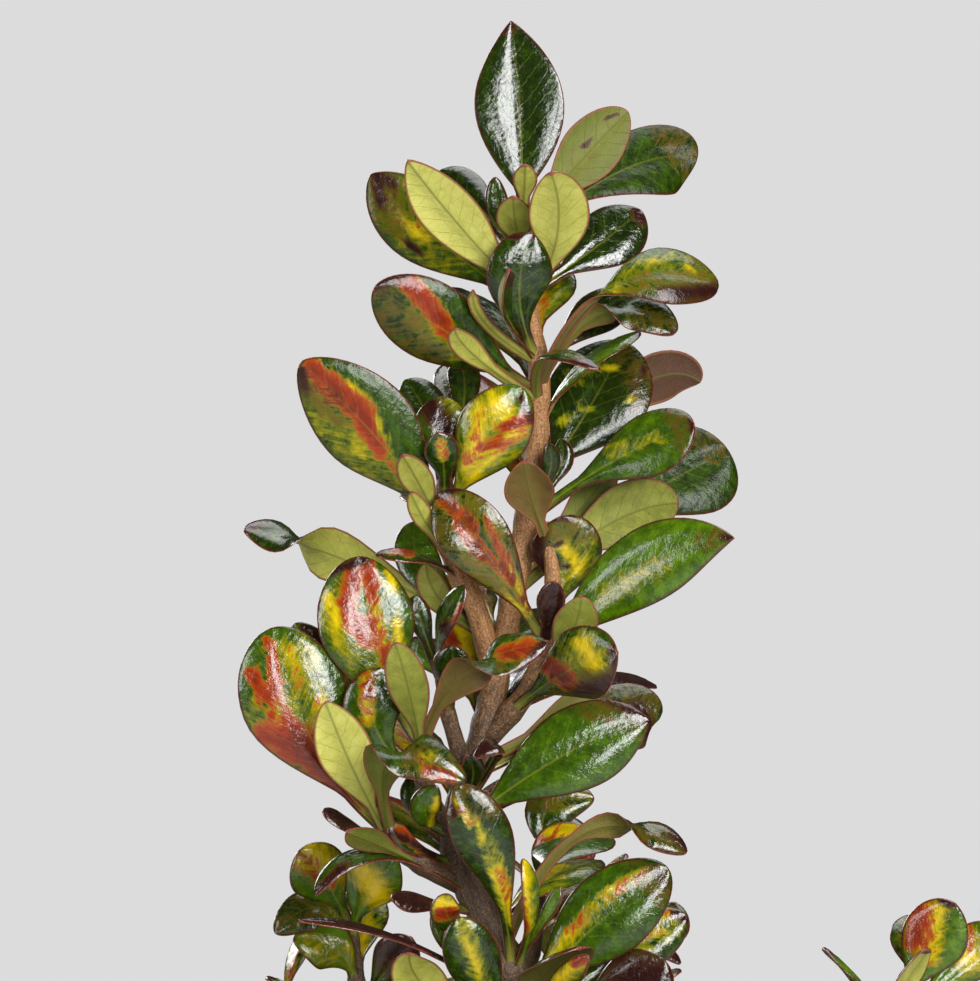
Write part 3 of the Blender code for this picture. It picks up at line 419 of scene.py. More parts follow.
# %% The soil's body and its loose crumbs
edge = inner_radius(SOIL_LEVEL) - GAP
floor_level = POT_FLOOR + GAP
profile = [(r, SOIL_LEVEL) for r in np.linspace(0.0, edge, round(edge / SOIL_RING))]
profile += [(inner_radius(floor_level + FLOOR_CORNER) - GAP, floor_level + FLOOR_CORNER),
            (inner_radius(floor_level) - FLOOR_CORNER - GAP, floor_level), (0.0, floor_level)]
soil_mesh = settled_mesh(turned_mesh("soil_shape", profile, SOIL_STEPS))
bm = bmesh.new()
bm.from_mesh(soil_mesh)
for vertex in bm.verts:
    if vertex.co.z > (SOIL_LEVEL - TOP_DEPTH) * MM:
        vertex.co.z = crumbly(vertex.co.x / MM, vertex.co.y / MM) * MM
draw = random.Random(CRUMB_SEED)
for number in range(CRUMBS):
    reach = (edge - CRUMB_MARGIN) * math.sqrt(draw.random())
    angle = draw.uniform(0.0, math.tau)
    x, y = reach * math.cos(angle), reach * math.sin(angle)
    size = draw.uniform(*CRUMB_SIZE)
    lump = bmesh.ops.create_icosphere(bm, subdivisions=2, radius=size * MM)["verts"]
    middle = Vector((x, y, crumbly(x, y) + CRUMB_RISE * size)) * MM
    stretch = Vector([draw.uniform(*CRUMB_STRETCH) for _ in range(3)])
    for vertex in lump:
        spot = vertex.co / (size * MM) * CRUMB_KNOB_SCALE + Vector((number, 0, 0))
        push = 1.0 + CRUMB_KNOBS * noise.noise(spot)
        vertex.co = middle + Vector([c * s * push for c, s in zip(vertex.co, stretch)])
bm.to_mesh(soil_mesh)
bm.free()
soil_mesh.shade_smooth()
print("soil: level at %.0f mm, %d loose crumbs" % (SOIL_LEVEL, CRUMBS))

# %% [markdown]
# Compost is peat and bark rotted together: nearly black where it is damp, brown where it has
# dried, and matt throughout. Crumbs of about 1 mm and patches of about 6 mm carry the brown,
# and the crumbs roughen the surface.

# %% Damp compost
damp_compost, tree, shader = new_material("damp_compost")
place = add(tree, "TexCoord").outputs["Object"]
crumb = add(tree, "TexNoise", {"Vector": place, "Scale": 900.0, "Detail": 6.0})
fibre = add(tree, "TexNoise", {"Vector": place, "Scale": 160.0, "Detail": 3.0})
brown = add(tree, "Math", {0: crumb, 1: 0.6, 2: fibre}, operation="MULTIPLY_ADD")
colour = add(tree, "ValToRGB", {"Fac": brown},
             stops=[(0.5, "#17110D"), (0.8, "#33261C"), (0.98, "#6A5138")])
dents = add(tree, "Bump", {"Height": crumb, "Distance": 0.4 * MM})
fill(tree, shader, {"Base Color": colour, "Roughness": 0.95, "Normal": dents})
show("potting_soil", soil_mesh, [damp_compost], "soil")

# %% [markdown]
# Each woody stem is a smooth line through a few points, each with a radius. The solid model
# follows the same line in 11 mm steps. The leafy nodes, where leaves stand in pairs, are where
# a stem thickens, so the fine stems are made only after the leaves have been placed.

# %% The leader's stems
STEM_SPACING = 11.0
HOLE_DEPTH = 25.0

LEADER_STEMS = {
    "trunk": [(3.6, 0, 101, 3), (5.5, 0.5, 128, 2.9), (5, 0, 150, 2.8),
              (4, 0, 176, 2.6), (-1, 0, 187, 2.5), (-6.3, 0, 198, 2.4),
              (-4.8, 0, 210, 2.3), (-1, 0, 221, 2.3), (2, 0, 234, 2.2),
              (5, 0.5, 250, 2.1), (8, 1, 268, 2), (8.8, 0.5, 285, 1.7),
              (6.8, 0, 299, 1.4), (5.5, 0, 316, 1.1)],
    "left_branch": [(0.8, 0, 229, 1.9), (-2, -2.5, 241, 2), (-5.5, -4, 249.5, 2),
                    (-8.5, -4.5, 257, 1.8), (-8, -4, 266, 1.3)],
    "right_branch": [(-1.5, 0, 218, 2), (3, -2, 223, 2), (7.5, -4.5, 229, 1.9),
                     (10.5, -5, 237, 1.8), (11.2, -5, 247, 1.5), (10.2, -3.5, 258, 1.1)],
    "low_left_twig": [(-5.5, 0, 193, 1.9), (-11, -4, 196, 1.8),
                      (-16.5, -6.5, 200, 1.6), (-20.5, -8, 205.5, 1.2)],
    "mid_left_twig": [(-5.8, 0, 201, 1.8), (-10, -4, 207, 1.7),
                      (-12, -7, 213, 1.5), (-12.3, -8.5, 219.5, 1.1)],
    "inner_twig": [(-4, 0, 212, 1.6), (-6.5, -3, 220, 1.5), (-8.5, -4, 228, 1.1),
                   (-9, -4, 232, 0.9)],
    "back_twig": [(-1, 0, 222, 1.7), (-2, 9, 233, 1.6), (-2, 14, 246, 1.1)],
    "low_back_twig": [(4, 0, 172, 1.7), (8, 10, 182, 1.5), (9, 15, 194, 1)],
}


def smooth_path(points, spacing=STEM_SPACING):
    """Even steps along a smooth curve through the given points."""
    rows = [Vector(row) for row in points]
    rows = [rows[0] * 2 - rows[1], *rows, rows[-1] * 2 - rows[-2]]
    path = []
    for a, b, c, d in zip(rows, rows[1:], rows[2:], rows[3:]):
        steps = max(1, round((c.xyz - b.xyz).length / spacing))
        for step in range(steps):
            t = step / steps
            bend = (2 * a - 5 * b + 4 * c - d) * t ** 2 + (3 * b - a - 3 * c + d) * t ** 3
            path.append((2 * b + (c - a) * t + bend) / 2)
    path.append(rows[-2])
    return path


def planted(points):
    """A path that starts with a straight foot, sunk into the soil."""
    path = smooth_path(points)
    rise = (path[1].xyz - path[0].xyz).normalized()
    foot = path[0].xyz - rise * HOLE_DEPTH
    return [Vector((*foot, path[0].w)), *path]


def at_height(path, height):
    """The place on a rising path at a height."""
    for low, high in zip(path, path[1:]):
        if low.z <= height <= high.z:
            return low.lerp(high, (height - low.z) / (high.z - low.z)).xyz
    return path[-1].xyz


# %% [markdown]
# A coprosma leaf grows from a short stalk, widens past its middle and ends in a blunt, often
# tipped point. Each one here follows a curved midrib through three points: where it meets the
# stem, its middle and its tip. The side that the glossy face looks to is a compass pair, with
# 0 degrees to the front and 90 to the right. Some leaves turn over on the way, so that their
# pale underside shows first and the glossy face at the tip, and these have a second pair.

# %% The form of a leaf
PETIOLE_WIDTH = 2.2
PETIOLE_END = 0.1
PETIOLE_FADE = 8.0
TURN_SPAN = 0.44
MIDRIB_STEP = 0.02


def compass(azimuth, elevation):
    """A direction: azimuth 0 is to the front (-Y), 90 to the right (+X), 180 to the back."""
    a, e = math.radians(azimuth), math.radians(elevation)
    return Vector((math.sin(a) * math.cos(e), -math.cos(a) * math.cos(e), math.sin(e)))


class Leaf:
    """A blade along a bent midrib. `faces` is where its upper side looks, as a compass pair."""

    def __init__(self, base, middle, tip, width, faces, tip_faces=None, turn_at=0.5, wide=0.62,
                 blunt=0.55, slender=1.1, trough=-0.1):
        self.base, self.middle, self.tip = Vector(base), Vector(middle), Vector(tip)
        self.width = width
        self.faces = compass(*faces)
        self.tip_faces = compass(*(tip_faces or faces))
        self.turned_over = tip_faces is not None
        self.turn_at = turn_at
        self.wide = wide
        self.blunt = blunt
        self.slender = slender
        self.trough = trough
        self.name = None

    def midrib(self, t):
        control = self.middle * 2 - (self.base + self.tip) / 2
        return self.base * (1 - t) ** 2 + control * (2 * t * (1 - t)) + self.tip * t ** 2

    def half_width(self, t):
        """A narrow petiole, then an outline that is widest at the share `wide` of the blade."""
        petiole = PETIOLE_WIDTH / 2 * min(1.0, (1.0 - t) * PETIOLE_FADE)
        share = max(0.0, (t - PETIOLE_END) / (1.0 - PETIOLE_END))
        share **= math.log(0.5) / math.log(self.wide)
        power = self.blunt if share > 0.5 else self.slender
        return max(petiole, self.width / 2 * max(0.0, math.sin(math.pi * share)) ** power)

    def directions(self, t):
        """The blade's sideways direction and its upper normal at t."""
        along = self.midrib(min(t + MIDRIB_STEP, 1.0)) - self.midrib(max(t - MIDRIB_STEP, 0.0))
        turn = min(max((t - self.turn_at) / TURN_SPAN + 0.5, 0.0), 1.0)
        facing = self.faces.lerp(self.tip_faces, turn * turn * (3 - 2 * turn))
        side = along.cross(facing).normalized()
        return side, side.cross(along).normalized()


# %% [markdown]
# These are the leaves that the front view shows, from the top down. Each row says which stem
# carries it and how high, where its middle and tip are, how wide it is, which way it faces and
# what is unusual about its form. A row's first word names the leaf, and the paint further down
# finds it by that name. Leaves behind others are often seen only in part, so their depth is a
# guess: the depths are stretched by half to give the plant a fuller side.

# %% The leader's leaves
LEADER_DEPTH = 1.5

LEADER_LEAVES = [
    ("T1", "trunk", 313, (5.4, 1.5, 331), (3.8, 3, 348.5), 16.2, (0, 5),
     dict(wide=0.5, blunt=0.85, slender=0.9, trough=0.12)),
    ("T2", "trunk", 310, (15, 5, 322), (25, 8, 332.6), 11, (180, 20), {}),
    ("T3", "trunk", 309, (24.5, 9, 322), (37.8, 12, 324), 15, (-25, 12), dict(blunt=0.5)),
    ("T4", "trunk", 299, (19, 3, 307.5), (27.3, 6, 314.5), 11.8, (-14, 4), dict(blunt=0.6)),
    ("bud1", "trunk", 312, (6.2, -2, 318), (6.3, -4, 322), 4.5, (180, 20), {}),
    ("bud2", "trunk", 306, (4.6, -4, 311.5), (4.2, -8, 316), 6.8, (180, 25), dict(wide=0.55)),
    ("bud3", "trunk", 307, (2, -1, 313), (1, -1.5, 320), 4.2, (0, 5), {}),
    ("U1", "trunk", 297, (12, -6, 309.5), (10.8, -13, 320), 11, (180, 25), dict(blunt=0.5)),
    ("U2", "trunk", 298, (-5.2, -6, 311), (-14.6, -12, 322.3), 10.8, (175, 25),
     dict(wide=0.55, blunt=0.75, slender=0.9)),
    ("L1", "trunk", 297, (-9, 2, 308.5), (-21.5, 3, 320.8), 13.4, (-22, 20),
     dict(blunt=0.65, slender=0.9)),
    ("L1b", "trunk", 305, (-3, 6, 316), (-9.5, 10, 321.5), 9, (-5, 25), {}),
    ("C1", "trunk", 287, (5.2, -6, 298.5), (7.6, -6.5, 309.5), 12, (10, 12), dict(blunt=0.5)),
    ("C2", "trunk", 288, (2.3, -7, 296), (3.6, -12, 302.8), 5.5, (50, 10), dict(trough=0.5)),
    ("C3", "trunk", 287, (-0.6, -4, 293.5), (-3, -7, 299.5), 2.4, (180, 20), {}),
    ("L2", "trunk", 281, (-6, -4, 291), (-20.7, -8, 299.8), 14.4, (-24, 8), dict(slender=0.9)),
    ("L2b", "trunk", 280, (-2.2, -6, 287.5), (-6.2, -10, 292.5), 5, (180, 20), {}),
    ("R1", "trunk", 282, (21.5, -8, 299.8), (40.8, -4, 300.6), 12.5, (180, 30),
     dict(tip_faces=(5, 35), turn_at=0.42, wide=0.76, blunt=0.45)),
    ("R2", "trunk", 283, (20.5, -3, 295.8), (33.2, -5, 291.8), 9, (180, 35),
     dict(tip_faces=(5, 35), turn_at=0.58, wide=0.66, blunt=0.45)),
    ("R2b", "trunk", 284, (17, 4, 294), (26, 7, 299), 8.5, (0, 20), {}),
    ("R3", "trunk", 280, (10, -9, 287.6), (19.5, -14, 285), 5, (0, 60), {}),
    ("R4", "trunk", 263, (17, 5, 277), (24.6, 9, 290.8), 19, (-14, -2), dict(blunt=0.5)),
    ("R5", "trunk", 262, (26, 11, 282), (38.6, 16, 283.6), 9.5, (180, 15), {}),
    ("R6", "trunk", 258, (22, -2, 268.8), (36.6, -5, 275.2), 13.2, (10, 30),
     dict(wide=0.7, blunt=0.5)),
    ("R7", "trunk", 252, (29.5, 11, 263.6), (43.4, 15, 271.5), 18.2, (-22, 0),
     dict(wide=0.7, blunt=0.5)),
    ("R8", "trunk", 245, (21, 3, 257.5), (34, 2, 261.5), 12, (180, 10), dict(blunt=0.5)),
    ("R9", "right_branch", 233, (26, -8, 249.5), (43.3, -12, 255.3), 14, (-12, 12),
     dict(wide=0.5, blunt=0.85, slender=0.9)),
    ("C4", "right_branch", 240, (13.6, -3, 250), (12.4, -4, 259), 13, (0, 5), dict(blunt=0.5)),
    ("C5", "trunk", 250, (16, 5, 260), (22, 8, 268.5), 7, (180, 10), {}),
    ("C6", "right_branch", 254, (7.6, -6, 262), (6, -10, 269), 9, (180, 20), dict(trough=-0.35)),
    ("ax1", "trunk", 260, (10.6, -1.5, 267), (10, -3, 272), 4.2, (20, 10), {}),
    ("ax2", "trunk", 261, (12.4, 1, 267.5), (12.6, 2, 273), 4.2, (0, 5), {}),
    ("ax3", "right_branch", 235, (10.5, -7, 242), (11.6, -9, 247.5), 5.2, (0, 5), {}),
    ("C7", "right_branch", 230, (14, -8.5, 237.5), (16.2, -12, 245), 8, (178, 20), {}),
    ("F1", "right_branch", 236, (0.2, -9, 251.5), (-9.4, -8, 263), 12.4, (-8, 5),
     dict(slender=0.9, trough=0.1)),
    ("F2", "left_branch", 259, (-1.8, -7.5, 270.5), (5.8, -8, 282), 13.2, (2, 6), dict(blunt=0.5)),
    ("L3", "left_branch", 255, (-17.5, -5, 270), (-33.8, -7, 286.6), 17.2, (-24, 6),
     dict(blunt=0.6)),
    ("L3b", "left_branch", 263, (-11, 2, 276), (-15.5, 6, 283.5), 9, (0, 15), {}),
    ("L4", "left_branch", 263, (-8.6, -3, 272.5), (-8.2, -2, 280.5), 10, (0, 8), dict(blunt=0.5)),
    ("L5", "left_branch", 262, (-8.3, -7, 268.5), (-9.5, -9, 274), 6.3, (0, 0), {}),
    ("L6", "left_branch", 256, (-12, -8, 264), (-15.4, -13, 270), 6, (180, 25), {}),
    ("L40", "left_branch", 264, (-4.6, 3, 281), (-6.8, 6, 288), 6, (0, 15), {}),
    ("L7", "left_branch", 250, (-11, -7, 257.5), (-14, -10, 263.5), 4, (180, 20), {}),
    ("LL1", "trunk", 236, (-25, 6, 250.8), (-44.6, 6, 256.5), 11.5, (180, 20),
     dict(tip_faces=(-10, 48), turn_at=0.7)),
    ("LM1", "left_branch", 248, (-13, -6, 251.8), (-20.4, -7, 252.2), 5, (0, 62), {}),
    ("GB1", "trunk", 238, (-11, 3, 248), (-13.5, 6, 258), 8, (0, 15), {}),
    ("GB2", "trunk", 236, (-8, 1.5, 243), (-11.6, 3, 250.5), 5.5, (180, 10), {}),
    ("M1", "mid_left_twig", 218, (-20.5, -8, 234.5), (-23, -7, 252), 17.4, (4, 6), dict(blunt=0.5)),
    ("M2", "low_left_twig", 203, (-31.5, -8.5, 219), (-38, -8, 239.5), 19.4, (-2, 6),
     dict(wide=0.66, blunt=0.5)),
    ("M2b", "mid_left_twig", 213, (-27, -3, 227), (-34.8, -2, 240), 10.5, (-10, 10), {}),
    ("M3", "mid_left_twig", 212, (-20.3, -10, 221.5), (-18.8, -10, 232), 10.4, (5, 0),
     dict(blunt=0.5)),
    ("M4", "low_left_twig", 203, (-24, -12, 214), (-29, -15, 226.5), 10, (180, 20),
     dict(blunt=0.65, slender=0.9)),
    ("M5", "mid_left_twig", 216, (-13.8, -13, 226.5), (-16.6, -18, 237), 7.5, (178, 20),
     dict(slender=0.9)),
    ("M6", "mid_left_twig", 217, (-4.8, -13, 230.8), (10.2, -15, 236.6), 9.5, (180, 15),
     dict(tip_faces=(5, 35), turn_at=0.62, blunt=0.5)),
    ("M7", "right_branch", 224, (13.2, -12, 231.4), (22.4, -18, 235.2), 13.4, (10, 8),
     dict(blunt=0.5)),
    ("M8", "inner_twig", 224, (-6.9, -8, 230.5), (-6.5, -10, 236.2), 7, (0, 5), {}),
    ("M9", "trunk", 226, (-4.4, 4, 235), (-5, 8, 241), 7.5, (0, 20), {}),
    ("M10", "inner_twig", 231, (-8.5, -7, 239.5), (-4.3, -9, 246.8), 6, (-10, 45), {}),
    ("M10b", "inner_twig", 230, (-12, -4, 239), (-13.4, -4, 245), 4.4, (0, 10), {}),
    ("M11", "low_left_twig", 201, (-17.6, -18, 216.8), (-4.2, -21, 212.8), 10.5, (180, 10),
     dict(tip_faces=(0, 30), turn_at=0.6, wide=0.56, blunt=0.5)),
    ("M12", "trunk", 203, (12.8, -2, 216), (28.6, -1, 222.5), 15.5, (8, 15),
     dict(wide=0.56, blunt=0.7, slender=0.9)),
    ("M13", "trunk", 212, (20, 5, 222), (30.5, 8, 222), 13.5, (0, 25), {}),
    ("M14", "trunk", 214, (12, 1, 222), (19.3, 2, 227), 7.5, (180, 10), {}),
    ("M15", "trunk", 206, (1.3, -6, 217.5), (-3, -8, 216), 4.6, (0, 35), {}),
    ("blk", "trunk", 208, (-3, -3.5, 212.5), (-4.2, -6, 216.5), 4.4, (0, 10), {}),
    ("N1", "trunk", 176, (0.9, -8, 196), (-6.4, -9.5, 211.4), 10.8, (-3, 5),
     dict(wide=0.66, blunt=0.6)),
    ("N1b", "trunk", 176, (7.4, -5, 188), (5.8, -6, 198), 4.4, (40, 5), {}),
    ("N2", "mid_left_twig", 202, (-11.4, -5, 205.5), (-9.3, -7, 211), 6, (0, 5), {}),
    ("N2b", "mid_left_twig", 202, (-13.2, -2, 207), (-13.4, -1, 213), 4.5, (-10, 5), {}),
    ("N3", "trunk", 196, (-13.5, -5, 200.2), (-17.8, -7, 204.5), 4.6, (-5, 35), {}),
    ("N4", "low_left_twig", 199, (-24, -7.5, 203.5), (-29.7, -9, 207), 4.4, (-10, 50), {}),
    ("N5", "low_left_twig", 197, (-20, -9, 201), (-25.3, -13, 203.4), 6, (180, 30), {}),
    ("N6", "trunk", 191, (-20.5, -7, 199), (-31, -10, 191.8), 5, (0, 55), {}),
    ("N7", "trunk", 188, (-12, -3, 189.8), (-17.6, -5, 190.8), 4.6, (-5, 35), {}),
    ("N8", "trunk", 185, (-6.9, -7, 187), (-7.1, -9.5, 192), 6, (0, 5), dict(blunt=0.5)),
    ("N9", "trunk", 172, (-16.5, -7, 183.8), (-34, -10, 187.3), 4.4, (0, 72), {}),
    ("N10", "trunk", 163, (-10, -8, 174), (-14.2, -14, 182), 9, (180, 20), {}),
    ("N11", "trunk", 161, (-1.5, -7, 176.5), (-5.8, -9, 187.8), 10, (0, 5), {}),
    ("N11b", "trunk", 174, (-6, -4.5, 181), (-10.2, -5, 188.5), 3, (0, 20), {}),
    ("N12", "trunk", 170, (17, -3, 184), (32, -2.5, 196), 15.2, (8, 15),
     dict(blunt=0.5, slender=0.9)),
    ("N13", "trunk", 180, (16.5, -3, 202.3), (35.2, -4, 198.8), 7.8, (180, 20),
     dict(tip_faces=(0, 45), turn_at=0.74, wide=0.76)),
    ("N14", "trunk", 166, (23, 2, 179), (35.5, 4, 187), 10, (5, 20), {}),
    ("N15", "trunk", 168, (22, 4, 181), (34.5, 5, 178), 5, (0, 50), {}),
    ("N16", "trunk", 160, (22, -3, 172), (31, -4, 180), 13, (0, 20), {}),
    ("N17", "trunk", 165, (11, -9, 174), (17.4, -14, 181.5), 5, (0, 15), {}),
    ("thin", "trunk", 178, (9.5, -4, 187), (12.5, -5, 193), 2.8, (0, 30), {}),
    ("beige", "trunk", 222, (18, 12, 229), (30.5, 22, 227.5), 8, (0, 60), {}),
]

# %% [markdown]
# Around the leader stand six shorter shoots. Only the tips of three of them show in the front
# view, and those leaves have rows of their own.

# %% The other shoots
SHOOTS = {
    "right_shoot": (11, [(33, -3, 100, 2.5), (47, 6, 130, 2.2),
                         (66, 18, 155, 1.8), (79, 28, 172, 1.1)]),
    "back_left_shoot": (12, [(-16, 26, 100, 2.6), (-20, 33, 135, 2.3),
                             (-24, 39, 165, 1.8), (-26, 42, 184, 1.1)]),
    "back_right_shoot": (13, [(15, 30, 100, 2.6), (15, 37, 140, 2.3),
                              (14, 42, 172, 1.8), (13, 44, 192, 1.1)]),
    "left_shoot": (14, [(-34, -4, 100, 2.5), (-45, -8, 122, 2.1),
                        (-57, -12, 142, 1.1)]),
    "front_left_shoot": (15, [(-17, -30, 100, 2.5), (-22, -40, 122, 2.1),
                              (-26, -50, 144, 1.1)]),
    "front_right_shoot": (16, [(24, -29, 100, 2.5), (31, -38, 122, 2.1),
                               (38, -48, 145, 1.1)]),
}

# Name, height on the shoot, middle, tip, width, facing
SHOOT_LEAVES = {
    "right_shoot": [
        ("G", 167, (80, 26, 178.5), (85.3, 24, 188), 12.5, (-10, 10)),
        ("H", 166, (86, 28, 176), (93.5, 28, 183.5), 10, (10, 15)),
    ],
    "back_left_shoot": [
        ("A", 182, (-29, 38, 193), (-35.5, 36, 197), 11.5, (-5, 15)),
        ("B", 180, (-23, 36, 189), (-17.5, 33, 196.5), 11, (5, 15)),
        ("C", 176, (-31, 38, 186), (-39.8, 37, 181.5), 9, (0, 35)),
        ("D", 170, (-28, 38, 178), (-36.5, 36, 180.5), 9.5, (-10, 25)),
        ("E", 168, (-19, 37, 175), (-14.5, 34, 181), 9, (10, 15)),
    ],
    "back_right_shoot": [
        ("O", 186, (12, 43, 194), (20, 42, 198), 12.5, (0, 10)),
        ("P", 190, (10, 45, 203), (19.5, 47, 206), 9.5, (5, 25)),
    ],
}

# %% [markdown]
# The other leaves grow by rule: opposite pairs, each a quarter turn from the pair below, large
# and spreading low down, small and upright near the tip. A leaf is turned, bent or shortened
# until it crosses no other leaf and no wood but its own stem's, or else left out. The test uses
# coarse blades, the same as the solid model's, so that every fine leaf here lies where its
# solid does.

# %% Coarse blades
BLADE_THICKNESS = 1.1
TURNED_RINGS = (0.10, 0.26, 0.42, 0.56, 0.70, 0.84, 0.95)
LARGE_RINGS = (0.10, 0.34, 0.57, 0.77, 0.93)
MIDDLE_RINGS = (0.12, 0.42, 0.70, 0.90)
SMALL_RINGS = (0.16, 0.55, 0.84)
LARGE_WIDTH = 12.0
SMALL_WIDTH = 7.0


def rings_for(leaf):
    """Wide blades get more rings than narrow ones, and blades that turn over the most."""
    if leaf.turned_over:
        return TURNED_RINGS
    if leaf.width > LARGE_WIDTH:
        return LARGE_RINGS
    return MIDDLE_RINGS if leaf.width > SMALL_WIDTH else SMALL_RINGS


def blade(leaf, thickness=BLADE_THICKNESS, spare=0.0):
    """A sphere of four meridians, reshaped: two edges, the upper face and the underside."""
    rings = rings_for(leaf)
    bm = bmesh.new()
    count = len(rings) + 1
    places = (0.0, *rings, 1.0)
    bmesh.ops.create_uvsphere(bm, u_segments=4, v_segments=count, radius=1.0)
    rank = {}
    for vertex in bm.verts:
        reach = math.hypot(vertex.co.x, vertex.co.y)
        ring = round((1.0 - math.atan2(reach, vertex.co.z) / math.pi) * count)
        across, above = 0, 0
        if 0 < ring < count:
            across, above = round(vertex.co.x / reach), -round(vertex.co.y / reach)
        rank[vertex] = (ring, above != 0)
        side, up = leaf.directions(places[ring])
        half = leaf.half_width(places[ring]) + spare
        place = leaf.midrib(places[ring]) + side * (across * half)
        vertex.co = place + up * (above * thickness / 2 + abs(across) * leaf.trough * half)
    for face in [face for face in bm.faces if len(face.verts) == 4]:
        corners = list(face.verts)
        start = min(corners, key=rank.get)
        bmesh.utils.face_split(face, start, corners[(corners.index(start) + 2) % 4])
    return bm, rank


# %% [markdown]
# Whether a leaf has room is a question of faces that cross. Each stem and blade that is placed
# is remembered as a search tree of its faces, and with the box round it, because most pairs
# are told apart by their boxes alone.

# %% The test for room
LEAF_CLEARANCE = 0.45
STEM_RESOLUTION = 1
SAME_CORNER = 0.001


def tube_faces(path):
    """Corners and faces of the coarse round stem along a path, in millimetres."""
    curve = bpy.data.curves.new("stem", "CURVE")
    curve.dimensions = "3D"
    curve.bevel_depth = MM
    curve.bevel_resolution = STEM_RESOLUTION
    curve.use_fill_caps = True
    line = curve.splines.new("POLY")
    line.points.add(len(path) - 1)
    for point, row in zip(line.points, path):
        point.co = (row.x * MM, row.y * MM, row.z * MM, 1.0)
        point.radius = row.w
    mesh = settled_mesh(linked("stem", curve))
    bm = bmesh.new()
    bm.from_mesh(mesh)
    bmesh.ops.remove_doubles(bm, verts=bm.verts, dist=SAME_CORNER * MM)
    bm.to_mesh(mesh)
    bm.free()
    corners = [vertex.co / MM for vertex in mesh.vertices]
    return corners, [tuple(face.vertices) for face in mesh.polygons]


def extent(corners):
    """The lowest and the highest x, y and z of some corners."""
    return [[pick(corner[axis] for corner in corners) for axis in range(3)]
            for pick in (min, max)]


class Crowd:
    """Remembers where stems and blades are, so that a new leaf can stay clear of them."""

    def __init__(self):
        self.taken = []

    def add(self, node, kind, corners, faces):
        tree = BVHTree.FromPolygons(corners, faces)
        self.taken.append((node, kind, *extent(corners), tree))

    def add_leaf(self, node, leaf):
        self.add(node, "leaf", *self.blade_faces(leaf, BLADE_THICKNESS, 0.0))

    def blade_faces(self, leaf, thickness, spare):
        """The blade without its root, which is meant to be inside its own stem."""
        bm, rank = blade(leaf, thickness, spare)
        bm.verts.ensure_lookup_table()
        bm.verts.index_update()
        corners = [vertex.co.copy() for vertex in bm.verts]
        faces = [tuple(vertex.index for vertex in face.verts) for face in bm.faces
                 if min(rank.get(vertex, (1, 0))[0] for vertex in face.verts) > 0]
        bm.free()
        return corners, faces

    def is_free(self, node, corners, faces, among_own=False):
        """Whether faces cross nothing of another node, nor leaves of their own node."""
        tree = BVHTree.FromPolygons(corners, faces)
        lows, highs = extent(corners)
        for other, kind, low, high, taken in self.taken:
            if other == node and not (among_own and kind == "leaf"):
                continue
            if all(lows[axis] <= high[axis] and low[axis] <= highs[axis] for axis in range(3)):
                if tree.overlap(taken):
                    return False
        return True

    def has_room(self, node, leaf):
        thickness = BLADE_THICKNESS + 2 * LEAF_CLEARANCE
        return self.is_free(node, *self.blade_faces(leaf, thickness, LEAF_CLEARANCE), True)


# %% [markdown]
# The rules are the plant's habits in numbers: how far apart its pairs of leaves stand, how long
# and how wide leaves are, how steeply they rise and how much they arch. Lengths are in
# millimetres and angles in degrees, and a pair of numbers is a range to draw from.

# %% The rules of growth
QUARTER_TURN = 90.0
BEHIND = -0.5
TIP_INSET = 1.5
FIRST_NODE = 0.26
FIRST_TWIG_NODE = 0.45
NODE_SPACING = 12.0
LEAF_LENGTH = (26.0, 33.0)
YOUNG_LENGTH = 16.0
WIDTH_SHARE = (0.48, 0.58)
ARCH = (0.05, 0.12)
SWAY = 18.0
RISE = (18.0, 38.0)
YOUNG_RISE = 38.0
SWING = 12.0
TWIGS = (2, 3)
TWIG_FOOT = (0.3, 0.6)
TWIG_TURN = 97.0
TWIG_LENGTH = (24.0, 34.0)
TWIG_RISE = (35.0, 60.0)
TWIG_RADII = (1.5, 1.3, 0.9)
# What a leaf tries one after another: a turn, more or less rise, and a share of its length
TRIES = [(0, 0, 1.0), (22, 0, 1.0), (-22, 0, 1.0), (0, 18, 1.0), (0, -16, 1.0), (40, 10, 0.9),
         (-40, 10, 0.9), (20, 25, 0.8), (-20, 25, 0.8), (60, 0, 0.8), (-60, 0, 0.8)]

# Each stem's and each leaf's draws start from a seed of their own
SEEDS_A_STEM = 1000
WHORL_SEED = 40
SHOOT_SEED = 500
SHOOT_STEMS = 10
WHORL_YOUTH = 0.1

# Stem, lowest and highest pair, spacing, first azimuth, only behind or not
LEADER_WHORLS = [
    ("trunk", 122, 168, 13.0, 30.0, False),
    ("trunk", 184, 304, 7.5, 135.0, True),
    ("back_twig", 231, 244, 7.0, 150.0, True),
    ("low_back_twig", 180, 192, 7.0, 170.0, True),
]

# %% [markdown]
# A leaf starts at its place on the stem, rises outwards and shows its upper side to the sky and
# to the stem. A pair is two leaves on opposite sides. Every leaf draws from a seed of its own,
# so that leaving one out changes nothing for the next.

# %% Leaves in pairs
def grown_leaf(base, azimuth, elevation, length, draw):
    """A leaf that rises from its stem with its upper side towards it, and arches outwards."""
    along = compass(azimuth, elevation)
    upper = compass(azimuth, elevation + QUARTER_TURN)
    arch = length * draw.uniform(*ARCH)
    middle = base + along * (length * 0.5) + upper * arch
    width = length * draw.uniform(*WIDTH_SHARE)
    turn = draw.uniform(-SWAY, SWAY)
    faces = (azimuth + turn, elevation + QUARTER_TURN)
    return Leaf(base, middle, base + along * length, width, faces)


def add_grown(crowd, node, leaves, base, azimuth, elevation, length, seed):
    """Adds a leaf where it crosses nothing, turned or bent clear, or else leaves it out."""
    for turn, bend, share in TRIES:
        draw = random.Random(seed)
        leaf = grown_leaf(base, azimuth + turn, elevation + bend, length * share, draw)
        if crowd.has_room(node, leaf):
            crowd.add_leaf(node, leaf)
            leaves.append(leaf)
            return


